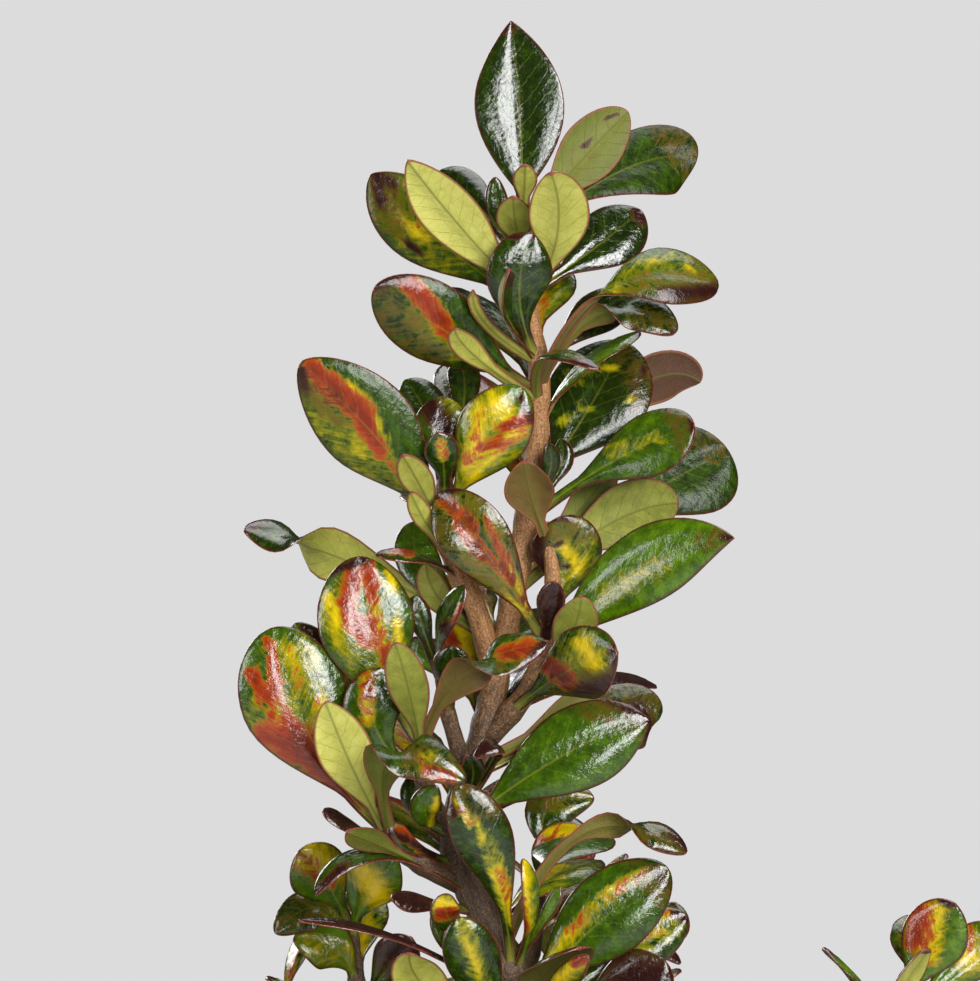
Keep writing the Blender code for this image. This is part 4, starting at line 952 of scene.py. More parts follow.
def add_pairs(crowd, node, leaves, nodes, azimuth, seed, behind_only=False):
    """Opposite pairs, each a quarter turn from the one below. `nodes` is (base, youth) pairs."""
    draw = random.Random(seed)
    for number, (base, share) in enumerate(nodes):
        length = draw.uniform(*LEAF_LENGTH) * (1 - share) + YOUNG_LENGTH * share
        elevation = draw.uniform(*RISE) + YOUNG_RISE * share
        swing = draw.uniform(-SWING, SWING)
        for side in (0, 1):
            heading = azimuth + QUARTER_TURN * number + swing + 2 * QUARTER_TURN * side
            if behind_only and math.cos(math.radians(heading)) > BEHIND:
                continue
            leaf_seed = seed * SEEDS_A_STEM + number * 2 + side
            add_grown(crowd, node, leaves, base, heading, elevation, length, leaf_seed)


# %% [markdown]
# Places along a stem are measured by length, because its points are not at even distances. The
# lowest part of a stem has shed its leaves. A twig leaves its stem at an angle and turns up
# towards the light.

# %% Places along a stem, and twigs
def path_length(path):
    return sum((b.xyz - a.xyz).length for a, b in zip(path, path[1:]))


def place_along(path, reach):
    """The place on a path at a distance from its start."""
    for a, b in zip(path, path[1:]):
        length = (b.xyz - a.xyz).length
        if reach <= length:
            return a.xyz.lerp(b.xyz, reach / length)
        reach -= length
    return path[-1].xyz


def nodes_along(path, first, spacing):
    """Leaf nodes at even steps along a path, with how young each is, from 0 to 1."""
    total = path_length(path)
    count = max(1, round(total * (1 - first) / spacing))
    nodes = []
    for number in range(count + 1):
        reach = total * (first + (1 - first) * number / count)
        nodes.append((place_along(path, min(reach, total - TIP_INSET)), (number / count) ** 2))
    return nodes


def twig_points(path, share, azimuth, draw):
    """A short side twig that leaves the stem and curves upwards."""
    base = place_along(path, share * path_length(path))
    length = draw.uniform(*TWIG_LENGTH)
    middle = base + compass(azimuth, TWIG_RISE[0]) * (length * 0.5)
    tip = middle + compass(azimuth, TWIG_RISE[1]) * (length * 0.5)
    return [(*place, radius) for place, radius in zip((base, middle, tip), TWIG_RADII)]


# %% [markdown]
# First every stem takes its place, then the shoots get their twigs, and a twig that would cross
# another stem is left out.

# %% Grow the stems
crowd = Crowd()
stem_points = {"leader": list(LEADER_STEMS.values())}
stem_points.update({name: [points] for name, (_, points) in SHOOTS.items()})
paths = {name: [smooth_path(points) for points in rows] for name, rows in stem_points.items()}
for name, rows in stem_points.items():
    for number, points in enumerate(rows):
        rooted = name != "leader" or number == 0
        crowd.add(name, "stem", *tube_faces(planted(points) if rooted else smooth_path(points)))
for name, (seed, points) in SHOOTS.items():
    draw = random.Random(seed)
    azimuth = draw.uniform(0.0, QUARTER_TURN)
    for number in range(draw.randint(*TWIGS)):
        share = draw.uniform(*TWIG_FOOT)
        points = twig_points(paths[name][0], share, azimuth + TWIG_TURN * number, draw)
        shape = tube_faces(smooth_path(points))
        if crowd.is_free(name, *shape):
            crowd.add(name, "stem", *shape)
            stem_points[name].append(points)
            paths[name].append(smooth_path(points))
print("stems:", {name: len(rows) for name, rows in stem_points.items()})

# %% [markdown]
# The named leaves come first, since they have to be where the front view shows them. Leaves by
# rule then fill what room is left, on the leader's trunk and back twigs and on every shoot.

# %% Grow the leaves
leaves = {"leader": []}
leader_paths = dict(zip(LEADER_STEMS, paths["leader"]))
for name, stem, height, middle, tip, width, faces, unusual in LEADER_LEAVES:
    middle, tip = [(x, y * LEADER_DEPTH, z) for x, y, z in (middle, tip)]
    leaf = Leaf(at_height(leader_paths[stem], height), middle, tip, width, faces, **unusual)
    leaf.name = name
    leaves["leader"].append(leaf)
    crowd.add_leaf("leader", leaf)
for shoot in SHOOTS:
    leaves[shoot] = []
    rooted = planted(SHOOTS[shoot][1])
    for name, height, middle, tip, width, faces in SHOOT_LEAVES.get(shoot, []):
        leaf = Leaf(at_height(rooted, height), middle, tip, width, faces)
        leaf.name = name
        leaves[shoot].append(leaf)
        crowd.add_leaf(shoot, leaf)
for number, (stem, low, high, spacing, azimuth, behind_only) in enumerate(LEADER_WHORLS):
    count = round((high - low) / spacing)
    heights = [low + (high - low) * step / count for step in range(count + 1)]
    nodes = [(at_height(leader_paths[stem], height), WHORL_YOUTH) for height in heights]
    add_pairs(crowd, "leader", leaves["leader"], nodes, azimuth, WHORL_SEED + number, behind_only)
for name, (seed, _) in SHOOTS.items():
    draw = random.Random(seed + SHOOT_SEED)
    for number, path in enumerate(paths[name]):
        nodes = nodes_along(path, FIRST_TWIG_NODE if number else FIRST_NODE, NODE_SPACING)
        azimuth = draw.uniform(0.0, QUARTER_TURN)
        add_pairs(crowd, name, leaves[name], nodes, azimuth, seed * SHOOT_STEMS + number)
print("leaves:", {name: len(rows) for name, rows in leaves.items()})

# %% [markdown]
# A stem is loft work: rings of points along the smooth line, each square to it, joined into a
# tube. Real coprosma wood swells where a pair of leaves stands and has low ridges along it, so
# each ring's radius grows near a leaf's foot, and a slow noise pushes the points in and out.
# Two attributes go with the points for the bark's material: how far along and around a point
# is, in millimetres, and how dark the bark is there, which grows lower down the stem: old wood,
# and painted shade where the lower stems stand among the leaves.

# %% Fine stems
FINE_SPACING = 1.3
STEM_SIDES = 18
NODE_SWELL = 0.16
NODE_REACH = 1.5
RIDGE_DEPTH = 0.13
RIDGE_SCALE = 1.4
RIDGE_LENGTH = 9.0
KNOT_SIZE = 1.8
KNOT_SHARE = 0.5
NO_LEAF_NEAR = 99.0
DARKEST_BELOW = 204.0
PALEST_ABOVE = 250.0


def fine_path(points, rooted):
    """The smooth path in fine steps, with the straight foot where it is rooted."""
    path = smooth_path(points, FINE_SPACING)
    if rooted:
        foot = planted(points)[0]
        steps = round(HOLE_DEPTH / FINE_SPACING)
        path = [foot.lerp(path[0], step / steps) for step in range(steps)] + path
    return path


def stem_rings(path, feet, seed):
    """Rings of points along a path, swollen near the feet of leaves."""
    rings, bark = [], []
    across = Vector((0.0, 1.0, 0.0))
    run = 0.0
    for number, row in enumerate(path):
        before, after = path[max(number - 1, 0)], path[min(number + 1, len(path) - 1)]
        along = (after.xyz - before.xyz).normalized()
        across = (across - along * across.dot(along)).normalized()
        other = along.cross(across)
        near = min(((row.xyz - foot).length for foot in feet), default=NO_LEAF_NEAR)
        radius = row.w * (1.0 + NODE_SWELL * math.exp(-(near / NODE_REACH) ** 2))
        run += (row.xyz - before.xyz).length
        for side in range(STEM_SIDES):
            angle = math.tau * side / STEM_SIDES
            out = across * math.cos(angle) + other * math.sin(angle)
            place = out * (row.w * RIDGE_SCALE) + Vector((seed, seed, run / RIDGE_LENGTH))
            knot = noise.noise((row.xyz + out * row.w) / KNOT_SIZE)
            bump = RIDGE_DEPTH * (noise.noise(place) + KNOT_SHARE * knot)
            rings.append(row.xyz + out * (radius + bump))
            bark.append((run, row.w * angle, seed))
    return rings, bark


# %% [markdown]
# Numbers that a material needs are stored with the points of a mesh, three under one name. The
# material reads them back by that name.

# %% Stored numbers, and the wood as one mesh
def keep(mesh, name, rows):
    """Stores three numbers for each point of a mesh, for a material to read."""
    layer = mesh.attributes.new(name, "FLOAT_VECTOR", "POINT")
    layer.data.foreach_set("vector", np.asarray(rows, dtype=np.float32).ravel())


def kept(tree, name):
    """The three stored numbers in a material, as outputs X, Y and Z."""
    row = add(tree, "Attribute", attribute_name=name).outputs["Vector"]
    return add(tree, "SeparateXYZ", {"Vector": row}).outputs


def wood_mesh(name, rows, feet):
    """All stems of one node as one mesh."""
    points, bark, faces = [], [], []
    for seed, (row, rooted) in enumerate(rows):
        path = fine_path(row, rooted)
        start = len(points)
        rings, coordinates = stem_rings(path, feet, seed)
        points += rings
        bark += coordinates
        for ring in range(len(path) - 1):
            low = start + ring * STEM_SIDES
            for side in range(STEM_SIDES):
                after = (side + 1) % STEM_SIDES
                faces.append((low + side, low + after, low + STEM_SIDES + after,
                              low + STEM_SIDES + side))
        faces.append(tuple(range(start + STEM_SIDES - 1, start - 1, -1)))
        faces.append(tuple(range(len(points) - STEM_SIDES, len(points))))
    mesh = bpy.data.meshes.new(name)
    mesh.from_pydata([point * MM for point in points], [], faces)
    keep(mesh, "bark", bark)
    # Darker lower down: old wood, and painted shade where the lower stems stand among the leaves
    ages_and_shade = [(min(max((PALEST_ABOVE - p.z) / (PALEST_ABOVE - DARKEST_BELOW), 0.0), 1.0), 0.0, 0.0)
            for p in points]
    keep(mesh, "age_and_shade", ages_and_shade)
    mesh.shade_smooth()
    return mesh


# %% [markdown]
# Young coprosma bark is thin and tan, with fine streaks along the stem and corky specks a
# third of a millimetre wide, the pores it breathes through. Lower down the stems it turns dark
# brown, which is old wood and also painted shade, where the lower stems stand among the leaves.
# Streaks are a noise that is stretched along the stem: about two to the millimetre
# around it, and one in four millimetres along it. The specks are a noise that is the same all
# ways, and slower flecks decide where the dark bark begins.

# %% Coprosma bark
coprosma_bark, tree, shader = new_material("coprosma_bark")
stem, age_and_shade = kept(tree, "bark"), kept(tree, "age_and_shade")["X"]
along = add(tree, "Math", {0: stem["X"], 1: 0.28}, operation="MULTIPLY")
around = add(tree, "Math", {0: stem["Y"], 1: 1.9}, operation="MULTIPLY")
grain = add(tree, "CombineXYZ", {"X": along, "Y": around, "Z": stem["Z"]})
streaks = add(tree, "TexNoise", {"Vector": grain, "Scale": 1.0, "Detail": 6.0,
                                 "Roughness": 0.7})
place = add(tree, "TexCoord").outputs["Object"]
flecks = add(tree, "TexNoise", {"Vector": place, "Scale": 1400.0, "Detail": 4.0})
specks = add(tree, "TexNoise", {"Vector": place, "Scale": 3200.0, "Detail": 3.0})
bare = add(tree, "Math", {0: streaks, 1: 0.4}, operation="MULTIPLY")
bare = add(tree, "Math", {0: specks, 1: 0.6, 2: bare}, operation="MULTIPLY_ADD")
young = add(tree, "ValToRGB", {"Fac": bare},
            stops=[(0.34, "#4A2D17"), (0.47, "#84582F"), (0.66, "#B88A56")])
# Dark bark: old wood, and painted shade on the lower stems
old_and_shaded_bark = add(tree, "ValToRGB", {"Fac": bare},
          stops=[(0.36, "#1A110A"), (0.52, "#4C3622"), (0.68, "#80633F")])
share = add(tree, "Math", {0: flecks, 1: 0.7, 2: age_and_shade}, operation="MULTIPLY_ADD")
share = add(tree, "MapRange", {"Value": share, "From Min": 0.62, "From Max": 1.0})
colour = add(tree, "Mix", {"Factor": share, "A": young, "B": old_and_shaded_bark}, data_type="RGBA")
relief = add(tree, "Math", {0: streaks, 1: flecks}, operation="ADD")
dents = add(tree, "Bump", {"Height": relief, "Distance": 0.25 * MM})
fill(tree, shader, {"Base Color": colour, "Roughness": 0.55, "Normal": dents})

for node, rows in stem_points.items():
    rooted = [number == 0 for number in range(len(rows))]
    feet = [leaf.base for leaf in leaves[node]]
    mesh = wood_mesh(node + "_wood", list(zip(rows, rooted)), feet)
    show(node + "_wood", mesh, [coprosma_bark], node)

# %% [markdown]
# The fine blade is lofted too. Each ring runs over the upper face from edge to edge and back
# along the underside, so the rim is a real rounded edge. On the real leaf each half swells
# between midrib and margin, the midrib is sunk above and stands out below, the blade is
# quilted between its side veins, and the margin waves a little. Each of these is one small
# term in the height of a point above the leaf's own plane.

# %% The fine blade
FINE_THICKNESS = 0.75
STALK_THICKNESS = 1.6
PILLOW = 0.07
GROOVE_DEPTH = 0.28
GROOVE_WIDTH = 0.5
QUILT = 0.06
VEIN_PITCH = 3.4
VEIN_SLANT = 1.1
MARGIN_WAVE = 0.055
WAVES, WAVE_SHIFT = 1.4, 0.37
STALK_REACH = 0.09
EDGE_THINNING = 0.5
EDGE_ROUNDNESS = 6
GROOVE_FADE = 0.7
LEAF_PHASES = 10


def fine_blade(leaf, rows, columns, seed):
    """Corners in millimetres, and each one's place on the leaf as shares and in millimetres."""
    steps = (1 - np.cos(np.pi * np.arange(1, rows) / rows)) / 2
    upper = np.sin(np.linspace(-1, 1, columns + 1) * np.pi / 2)
    across = np.concatenate([upper, upper[-2:0:-1]])
    above = np.concatenate([np.ones(columns + 1), -np.ones(columns - 1)])
    ribs = np.array([leaf.midrib(t) for t in steps])
    frames = [leaf.directions(t) for t in steps]
    sides = np.array([frame[0] for frame in frames])[:, None]
    ups = np.array([frame[1] for frame in frames])[:, None]
    half = np.array([leaf.half_width(t) for t in steps])[:, None]
    length = (leaf.middle - leaf.base).length + (leaf.tip - leaf.middle).length
    t, v = steps[:, None], across[None, :]
    out = np.abs(v)
    phase = random.Random(seed).random()
    thick = FINE_THICKNESS + (STALK_THICKNESS - FINE_THICKNESS) * np.exp(-(t / STALK_REACH) ** 2)
    skin = thick / 2 * (1 - EDGE_THINNING * v ** 2) * np.sqrt(1 - out ** EDGE_ROUNDNESS) * above
    lift = leaf.trough * half * out ** 1.5
    lift += PILLOW * half * np.sin(np.pi * out) * np.minimum(1, 4 * t)
    lift -= GROOVE_DEPTH * (1 - GROOVE_FADE * t) * np.exp(-(v * half / GROOVE_WIDTH) ** 2)
    veins = (t * length - VEIN_SLANT * out * half) / VEIN_PITCH
    lift -= QUILT * np.cos(2 * np.pi * veins) * np.sin(np.pi * out)
    turn = 2 * np.pi * (WAVES * t + phase + WAVE_SHIFT * np.sign(v))
    lift += MARGIN_WAVE * half * v ** 2 * np.sin(turn)
    corners = ribs[:, None] + sides * (v * half)[..., None] + ups * (skin + lift)[..., None]
    margin = np.minimum(half * (1 - out), (1 - t) * length)
    blade_map = np.stack([t + 0 * v, v + 0 * t, margin], axis=-1)
    own = LEAF_PHASES * phase
    span = np.stack([t * length + 0 * v, v * half, 0 * t * v + own], axis=-1)
    ends = ((leaf.base, (0.0, 0.0, 1.0), (0.0, 0.0, own)),
            (leaf.tip, (1.0, 0.0, 0.0), (length, 0.0, own)))
    corners, blade_map, span = [np.vstack([part.reshape(-1, 3), [end[k] for end in ends]])
                                for k, part in enumerate((corners, blade_map, span))]
    return corners, blade_map, span


# %% [markdown]
# The rings are joined by four-sided faces, and the root and the tip close the blade with
# triangles. The first half of each ring is the upper side and gets the first material.

# %% The faces of a fine blade
def lofted_faces(rows, columns):
    """Faces of a blade, and for each whether it is on the underside."""
    loop = 2 * columns
    faces, below = [], []
    for ring in range(rows - 2):
        low = ring * loop
        for k in range(loop):
            after = (k + 1) % loop
            faces.append((low + k, low + after, low + loop + after, low + loop + k))
            below.append(int(k >= columns))
    last = (rows - 2) * loop
    root, tip = last + loop, last + loop + 1
    for k in range(loop):
        after = (k + 1) % loop
        faces += [(root, after, k), (tip, last + k, last + after)]
        below += [int(k >= columns)] * 2
    return faces, below


# %% [markdown]
# The colours of a coprosma leaf are pigment in patches: chlorophyll green, carotene yellow
# where the green is missing, and red over the yellow, with a maroon tip and rim. So a leaf is
# painted the way its patches lie: a few soft strokes of yellow, red or brown, each a line with
# a radius. A leaf's look gives how bright its green is, how brown its underside is, and its
# strokes. For the leaves that the front view shows, strokes are placed in that view: x and z
# of the line's two ends, then the radius, all in millimetres. The values between strokes fall
# off slowly, and the material then cuts them into ragged patches.

# %% The paint on the leaves
# Each paint's most of red, yellow and brown pigment
PAINTS = {"red": (1.0, 0.6, 0.0), "orange": (0.38, 1.0, 0.0), "yellow": (0.0, 1.0, 0.0),
          "olive": (0.0, 0.33, 0.0), "murk": (0.0, 0.2, 0.28), "brown": (0.0, 0.0, 1.0)}

# How worn the wax is, from 0, which mirrors, to 1, which is matt
WORN = {"T3": 1.0, "T4": 0.15, "R7": 0.9, "R2": 0.5, "L1": 0.8, "L2": 0.7, "L3": 0.7, "R1": 0.7,
        "R4": 0.5, "R6": 0.6, "R9": 0.3, "C4": 0.6, "M7": 0.4, "M3": 0.2, "M13": 0.5, "N3": 0.5}
USUAL_WEAR = 0.3

# Green's brightness, underside's brownness, strokes by paint
LOOKS = {
    "T1": (0.06, 0.2, {"brown": [(3.2, 346.5, 4.2, 348.5, 0.8)]}),
    "T2": (0.3, 0.5, {"brown": [(17, 326, 23, 331, 0.3), (21, 331.2, 23.2, 332, 0.35)]}),
    "T3": (0.2, 0.4, {"murk": [(33, 330, 38, 323, 2.4)]}),
    "T4": (0, 0.4, {"brown": [(26.5, 314.5, 27.5, 312.5, 0.8)]}),
    "bud1": (0.45, 0.12, {}),
    "bud2": (0.4, 0.2, {}),
    "bud3": (0.15, 0.3, {}),
    "U1": (0.4, 0.05, {}),
    "U2": (0.4, 0, {}),
    "L1": (0.4, 0.4, {"olive": [(-17.5, 315, -8, 306, 3.4)], "murk": [(-20.4, 320, -18, 313, 2.6)],
        "brown": [(-20.6, 320.6, -19.6, 315.5, 1), (-20.4, 320.8, -17.5, 319, 0.9),
        (-15.6, 308.6, -12.4, 306.6, 0.5)], "yellow": [(-17, 313, -11, 309, 0.7),
        (-17.2, 309.6, -15.6, 308.6, 0.4)], "orange": [(-13.4, 312.8, -12, 312, 0.4)]}),
    "L1b": (0.1, 0.4, {}),
    "C1": (0.1, 0.3, {"brown": [(4, 309, 10, 308.8, 0.5)]}),
    "C2": (0.12, 0.3, {"brown": [(3, 302.6, 3.6, 300.5, 0.6)]}),
    "C3": (0.5, 0.15, {}),
    "L2": (0.2, 0.3, {"murk": [(-19.5, 299, -14, 292, 2.4), (-15, 291.5, -9, 287.5, 1.2)],
        "red": [(-15.2, 301.4, -11, 296.6, 1.5), (-11.8, 297.8, -8.4, 293.4, 1.5),
        (-8.4, 293.6, -6.4, 291.4, 0.6)], "olive": [(-13, 295, -6.5, 289, 1.7)],
        "orange": [(-8.2, 291.6, -6.6, 290, 0.5)], "brown": [(-20.4, 300, -15, 302.4, 0.8)]}),
    "L2b": (0.4, 0.12, {}),
    "R1": (0.3, 0.75, {"olive": [(22, 301.4, 37.5, 303.5, 2.2)],
        "murk": [(27, 299.6, 39, 299.6, 2.2), (38.5, 304, 40.5, 299, 2)],
        "yellow": [(28.4, 304.6, 29.6, 304.4, 0.3), (34.8, 304, 36.2, 303.2, 0.4)],
        "brown": [(31, 298.4, 40.2, 299.4, 1.3)]}),
    "R2": (0.12, 0.55, {"murk": [(27.5, 293, 33, 292, 2.2)],
        "brown": [(29.5, 290.5, 33, 291.5, 0.8)]}),
    "R2b": (0.1, 0.4, {}),
    "R3": (0.2, 0.4, {"brown": [(15, 286, 19, 286.5, 1)]}),
    "R4": (0.04, 0.5, {"olive": [(14.5, 284, 20, 287, 1.1), (13, 276, 17, 279, 0.8)],
        "yellow": [(21, 286.6, 22.6, 285.5, 0.4), (25.6, 280.4, 26.2, 278.6, 0.4)],
        "murk": [(24, 290.5, 28, 281.5, 1.6)], "brown": [(27.9, 286, 25.6, 277.5, 0.5)]}),
    "R5": (0.2, 1, {}),
    "R6": (0.42, 0.4, {"olive": [(22, 270.8, 30, 273.3, 1)], "murk": [(33.5, 277.5, 36, 272, 1.7)],
        "brown": [(36, 277, 36.6, 273, 0.7)]}),
    "R7": (0.18, 0.5, {"murk": [(38.5, 278, 41, 272, 2.2)]}),
    "R8": (0.4, 0.3, {}),
    "R9": (0.58, 0.3, {"olive": [(20, 245, 30, 250, 1.5)], "murk": [(38, 255, 43.3, 255, 1.2)],
        "brown": [(41.5, 255.4, 43.3, 255.2, 0.6)]}),
    "C4": (0.2, 0.5, {"olive": [(12.5, 256, 16, 248.5, 3.6)], "yellow": [(13, 254, 16, 249.5, 1.1)],
        "murk": [(8.5, 258, 16.5, 258.5, 2.6)], "brown": [(8.2, 257, 9.4, 249, 1.5),
        (9.5, 259, 14.5, 259.2, 0.9), (12.6, 250.6, 14, 250, 0.5), (11.4, 254.6, 12.4, 254, 0.4)]}),
    "C5": (0.3, 0.42, {}),
    "C6": (0.3, 0.66, {}),
    "ax1": (0.05, 0.5, {}),
    "ax2": (0.02, 0.5, {}),
    # ax3 is painted near black all over: painted shade, for this small leaf stands in deep shade
    "ax3": (0, 0.9, {"brown": [(11, 238, 11.6, 247, 3)]}),
    "C7": (0.4, 0.34, {}),
    "F1": (0.16, 0.4, {"murk": [(-7.5, 261.5, 4.5, 246.5, 4.2)],
        "red": [(-8.4, 262.2, -3, 257.4, 1.1), (-3.6, 255.6, 3.6, 247.8, 0.8),
        (-0.8, 258.6, 3, 251.6, 0.6), (-6, 257.4, -1.4, 251, 0.45)],
        "orange": [(3.6, 249.6, 7, 242.4, 0.8)], "yellow": [(2.4, 245.6, 6.6, 241.4, 0.45)],
        "olive": [(-5, 263.2, 2, 257.6, 1.2), (-4.5, 253, 1, 246.5, 1.2)],
        "brown": [(-9.8, 262.6, -5.5, 264.2, 0.6)]}),
    "F2": (0.55, 0.3, {"olive": [(-2.6, 278, -4.4, 267, 3.4), (-2, 265.6, 3.6, 271, 2.2),
        (-5.6, 268, -3, 264, 1)], "yellow": [(-1.6, 278, -3.4, 268, 1.7), (1, 279.5, 4.4, 274.5, 2),
        (-3.6, 265.6, 1.2, 271, 1)], "orange": [(5.8, 274.4, -3.6, 269.6, 1.2),
        (-1, 278, -3, 273.6, 0.8)], "red": [(2.6, 275, 6.8, 276.8, 1),
        (2.6, 273, -1.4, 271.2, 0.6)], "brown": [(5.4, 280.4, 7.4, 276.5, 0.6)]}),
    "L3": (0.3, 0.3, {"red": [(-31.8, 285.4, -27.5, 282, 1.5), (-29, 283.2, -22.5, 277, 1.9),
        (-24.5, 278.5, -19.5, 270.8, 1.3), (-20, 271.6, -16.4, 267, 0.5)],
        "yellow": [(-25.2, 282.8, -21.6, 278.4, 0.7), (-20.6, 276, -18, 271.6, 0.5),
        (-25.6, 272.8, -22.4, 269.6, 0.6)], "olive": [(-30.5, 279, -18.5, 265.5, 2.6)],
        "murk": [(-33, 282, -26, 277, 1.6)], "brown": [(-33.6, 285, -33, 282, 0.8)]}),
    "L3b": (0.14, 0.4, {}),
    "L4": (0.24, 0.4, {"brown": [(-11.5, 280, -8.2, 275, 1.7)],
        "olive": [(-8, 279, -5.8, 273, 2.2)]}),
    "L5": (0.12, 0.3, {"orange": [(-8.6, 272.3, -8.4, 269.6, 0.7)]}),
    "L6": (0.4, 0.12, {}),
    "L40": (0.22, 0.3, {}),
    "L7": (0.45, 0.16, {}),
    "LL1": (0.14, 0.14, {"brown": [(-44, 257, -41, 259, 1)]}),
    "LM1": (0.24, 0.5, {"red": [(-17.6, 253.2, -14, 252.6, 0.7)],
        "brown": [(-20, 253, -18, 254, 0.8)]}),
    "GB1": (0.5, 0.3, {}),
    "GB2": (0.34, 0.2, {}),
    "M1": (0.38, 0.4, {"red": [(-24.4, 249, -25.4, 243.6, 1.5), (-21.4, 250.8, -20.6, 245, 0.9),
        (-25.2, 241.8, -22, 237.2, 1.4), (-22, 240.4, -18.8, 233.6, 0.8)],
        "orange": [(-20.4, 244.4, -18.6, 235, 0.9)], "yellow": [(-28.8, 244.6, -26.6, 239.4, 1.2),
        (-18, 249, -17, 245.8, 0.8), (-16.8, 241, -16.2, 234.6, 0.9)],
        "olive": [(-28.4, 242, -21, 232.5, 2.4)], "brown": [(-28, 249.4, -22, 251.6, 0.7)]}),
    "M2": (0.4, 0.4, {"red": [(-39.6, 237, -37.4, 228.4, 0.8), (-42.4, 231.4, -39.4, 225.6, 1.1),
        (-38.8, 227.2, -33.6, 219.4, 0.8), (-39.6, 220.4, -33, 217, 2.2),
        (-34.6, 219.6, -27.4, 213, 2.5), (-28.4, 213.6, -23.6, 207.5, 1.4)],
        "orange": [(-35.8, 235.4, -34, 228, 0.8), (-30.6, 226.4, -29, 219, 1)],
        "olive": [(-34.2, 234.8, -30.4, 220, 2.4), (-42, 224, -38.5, 222, 1.4)],
        "yellow": [(-31.6, 228, -29.6, 217, 0.7), (-38.6, 224.4, -36, 222, 0.8)]}),
    "M2b": (0.4, 0.4, {"red": [(-34.2, 237.4, -31.5, 234.6, 0.9)],
        "yellow": [(-29, 232.5, -26, 230, 1)], "brown": [(-33, 239.2, -29.5, 236, 0.8)]}),
    "M3": (0.34, 0.3, {"orange": [(-21.9, 231, -21.6, 223, 1.1)],
        "red": [(-21.9, 229.6, -21.7, 227, 0.4)], "murk": [(-20, 232, -17, 231, 0.9)]}),
    "M4": (0.45, 0.06, {}),
    "M5": (0.45, 0.3, {}),
    "M6": (0.26, 0.66, {"red": [(2.6, 235, 7.6, 236.2, 1.3)],
        "brown": [(7.6, 233.6, 9.8, 236.6, 1.1)], "murk": [(3, 232.8, 7.6, 233.4, 1.2)]}),
    "M7": (0.26, 0.6, {"olive": [(15, 236, 19.6, 231.6, 2.6)],
        "yellow": [(16.2, 236.4, 18.4, 233.2, 1.6)], "red": [(10.4, 232.6, 14, 229.8, 1.5)],
        "murk": [(12.5, 228.6, 21, 229.6, 1.8)], "brown": [(15.6, 227.8, 22, 230.4, 1.5),
        (22, 235.6, 22.6, 230, 1)]}),
    "M8": (0.04, 0.4, {}),
    "M9": (0.5, 0.2, {"red": [(-7.4, 237.6, -6.2, 234.6, 1)],
        "yellow": [(-5.6, 239.4, -3.6, 234, 1.8)]}),
    "M10": (0.2, 0.4, {"red": [(-5, 243, -6.4, 240, 0.6)], "brown": [(-8, 239.5, -7, 238, 1)]}),
    "M10b": (0.08, 0.5, {}),
    "M11": (0.22, 0.5, {"murk": [(-12, 216, -5, 212, 2.2)], "red": [(-11, 214.6, -7, 213.4, 1)],
        "orange": [(-12, 216.8, -9.4, 217.4, 0.5)], "brown": [(-12.4, 211.4, -5, 211.4, 0.8)]}),
    "M12": (0.44, 0.4, {"murk": [(16, 227.5, 27.5, 223.5, 2.6)],
        "brown": [(19, 228.4, 29, 222.8, 1.5)]}),
    "M13": (0.16, 0.9, {"murk": [(24, 226, 28.6, 219, 3.6)],
        "brown": [(26.6, 224, 29, 219.6, 1.6)]}),
    "M14": (0.4, 0.55, {"red": [(12, 226, 17, 227, 0.6)]}),
    "M15": (0.04, 0.6, {"brown": [(-3, 217, 1, 218.5, 1.2)]}),
    "blk": (0, 0.9, {}),
    "N1": (0.12, 0.4, {"orange": [(-6.6, 208.6, -3, 204.6, 0.6), (1.6, 196, 4.4, 188.4, 0.8)],
        "yellow": [(-4.2, 205.4, -0.6, 202, 0.4), (0.6, 196, 5, 185, 0.8)],
        "olive": [(-0.6, 201, 4.2, 188, 1.2)], "brown": [(-7.6, 209.4, -6.4, 206, 0.7)],
        "murk": [(-5, 210, 1, 207.4, 1.9)]}),
    "N1b": (0.5, 0.2, {"yellow": [(6, 199, 6.2, 186, 1.3)], "orange": [(5.6, 190, 6, 185, 0.8)]}),
    "N2": (0.45, 0.3, {"yellow": [(-10.6, 204, -9.4, 208.6, 0.6)]}),
    "N2b": (0.2, 0.3, {"red": [(-12.6, 212.6, -12, 209, 0.7)]}),
    "N3": (0.24, 0.5, {"red": [(-16, 202.8, -12.5, 200.2, 1)],
        "brown": [(-18, 203, -10, 198.4, 0.6)]}),
    "N4": (0.16, 0.7, {"brown": [(-29, 206.8, -24.5, 205, 1.4)]}),
    "N5": (0.3, 0.48, {}),
    "N6": (0.22, 0.66, {"brown": [(-30.5, 192.5, -26, 197, 0.8)]}),
    "N7": (0.06, 0.9, {"brown": [(-17, 190.6, -12, 189.5, 2.2)]}),
    "N8": (0.36, 0.4, {"red": [(-9, 188.2, -6.2, 188.6, 0.9)],
        "yellow": [(-9, 190.4, -5.6, 189.4, 1.5)]}),
    "N9": (0.1, 0.95, {"brown": [(-34, 187.2, -12, 182.6, 3)],
        "yellow": [(-23, 183.8, -15, 182.6, 0.5)]}),
    "N10": (0.45, 0.1, {}),
    "N11": (0.16, 0.4, {"olive": [(-4.6, 186, -1.6, 176, 1.2)],
        "yellow": [(-4, 184, -2, 178, 0.5)]}),
    "N11b": (0.6, 0.3, {}),
    "N12": (0.36, 0.4, {"yellow": [(10, 179, 22, 192.6, 0.6), (22, 191.6, 26, 194.6, 0.4)],
        "orange": [(14, 184.4, 18, 188.4, 0.7), (20.5, 191, 27.5, 195.4, 0.7)],
        "red": [(15.4, 186, 17.2, 187.8, 0.4)], "olive": [(12, 181, 22, 192, 1.1)],
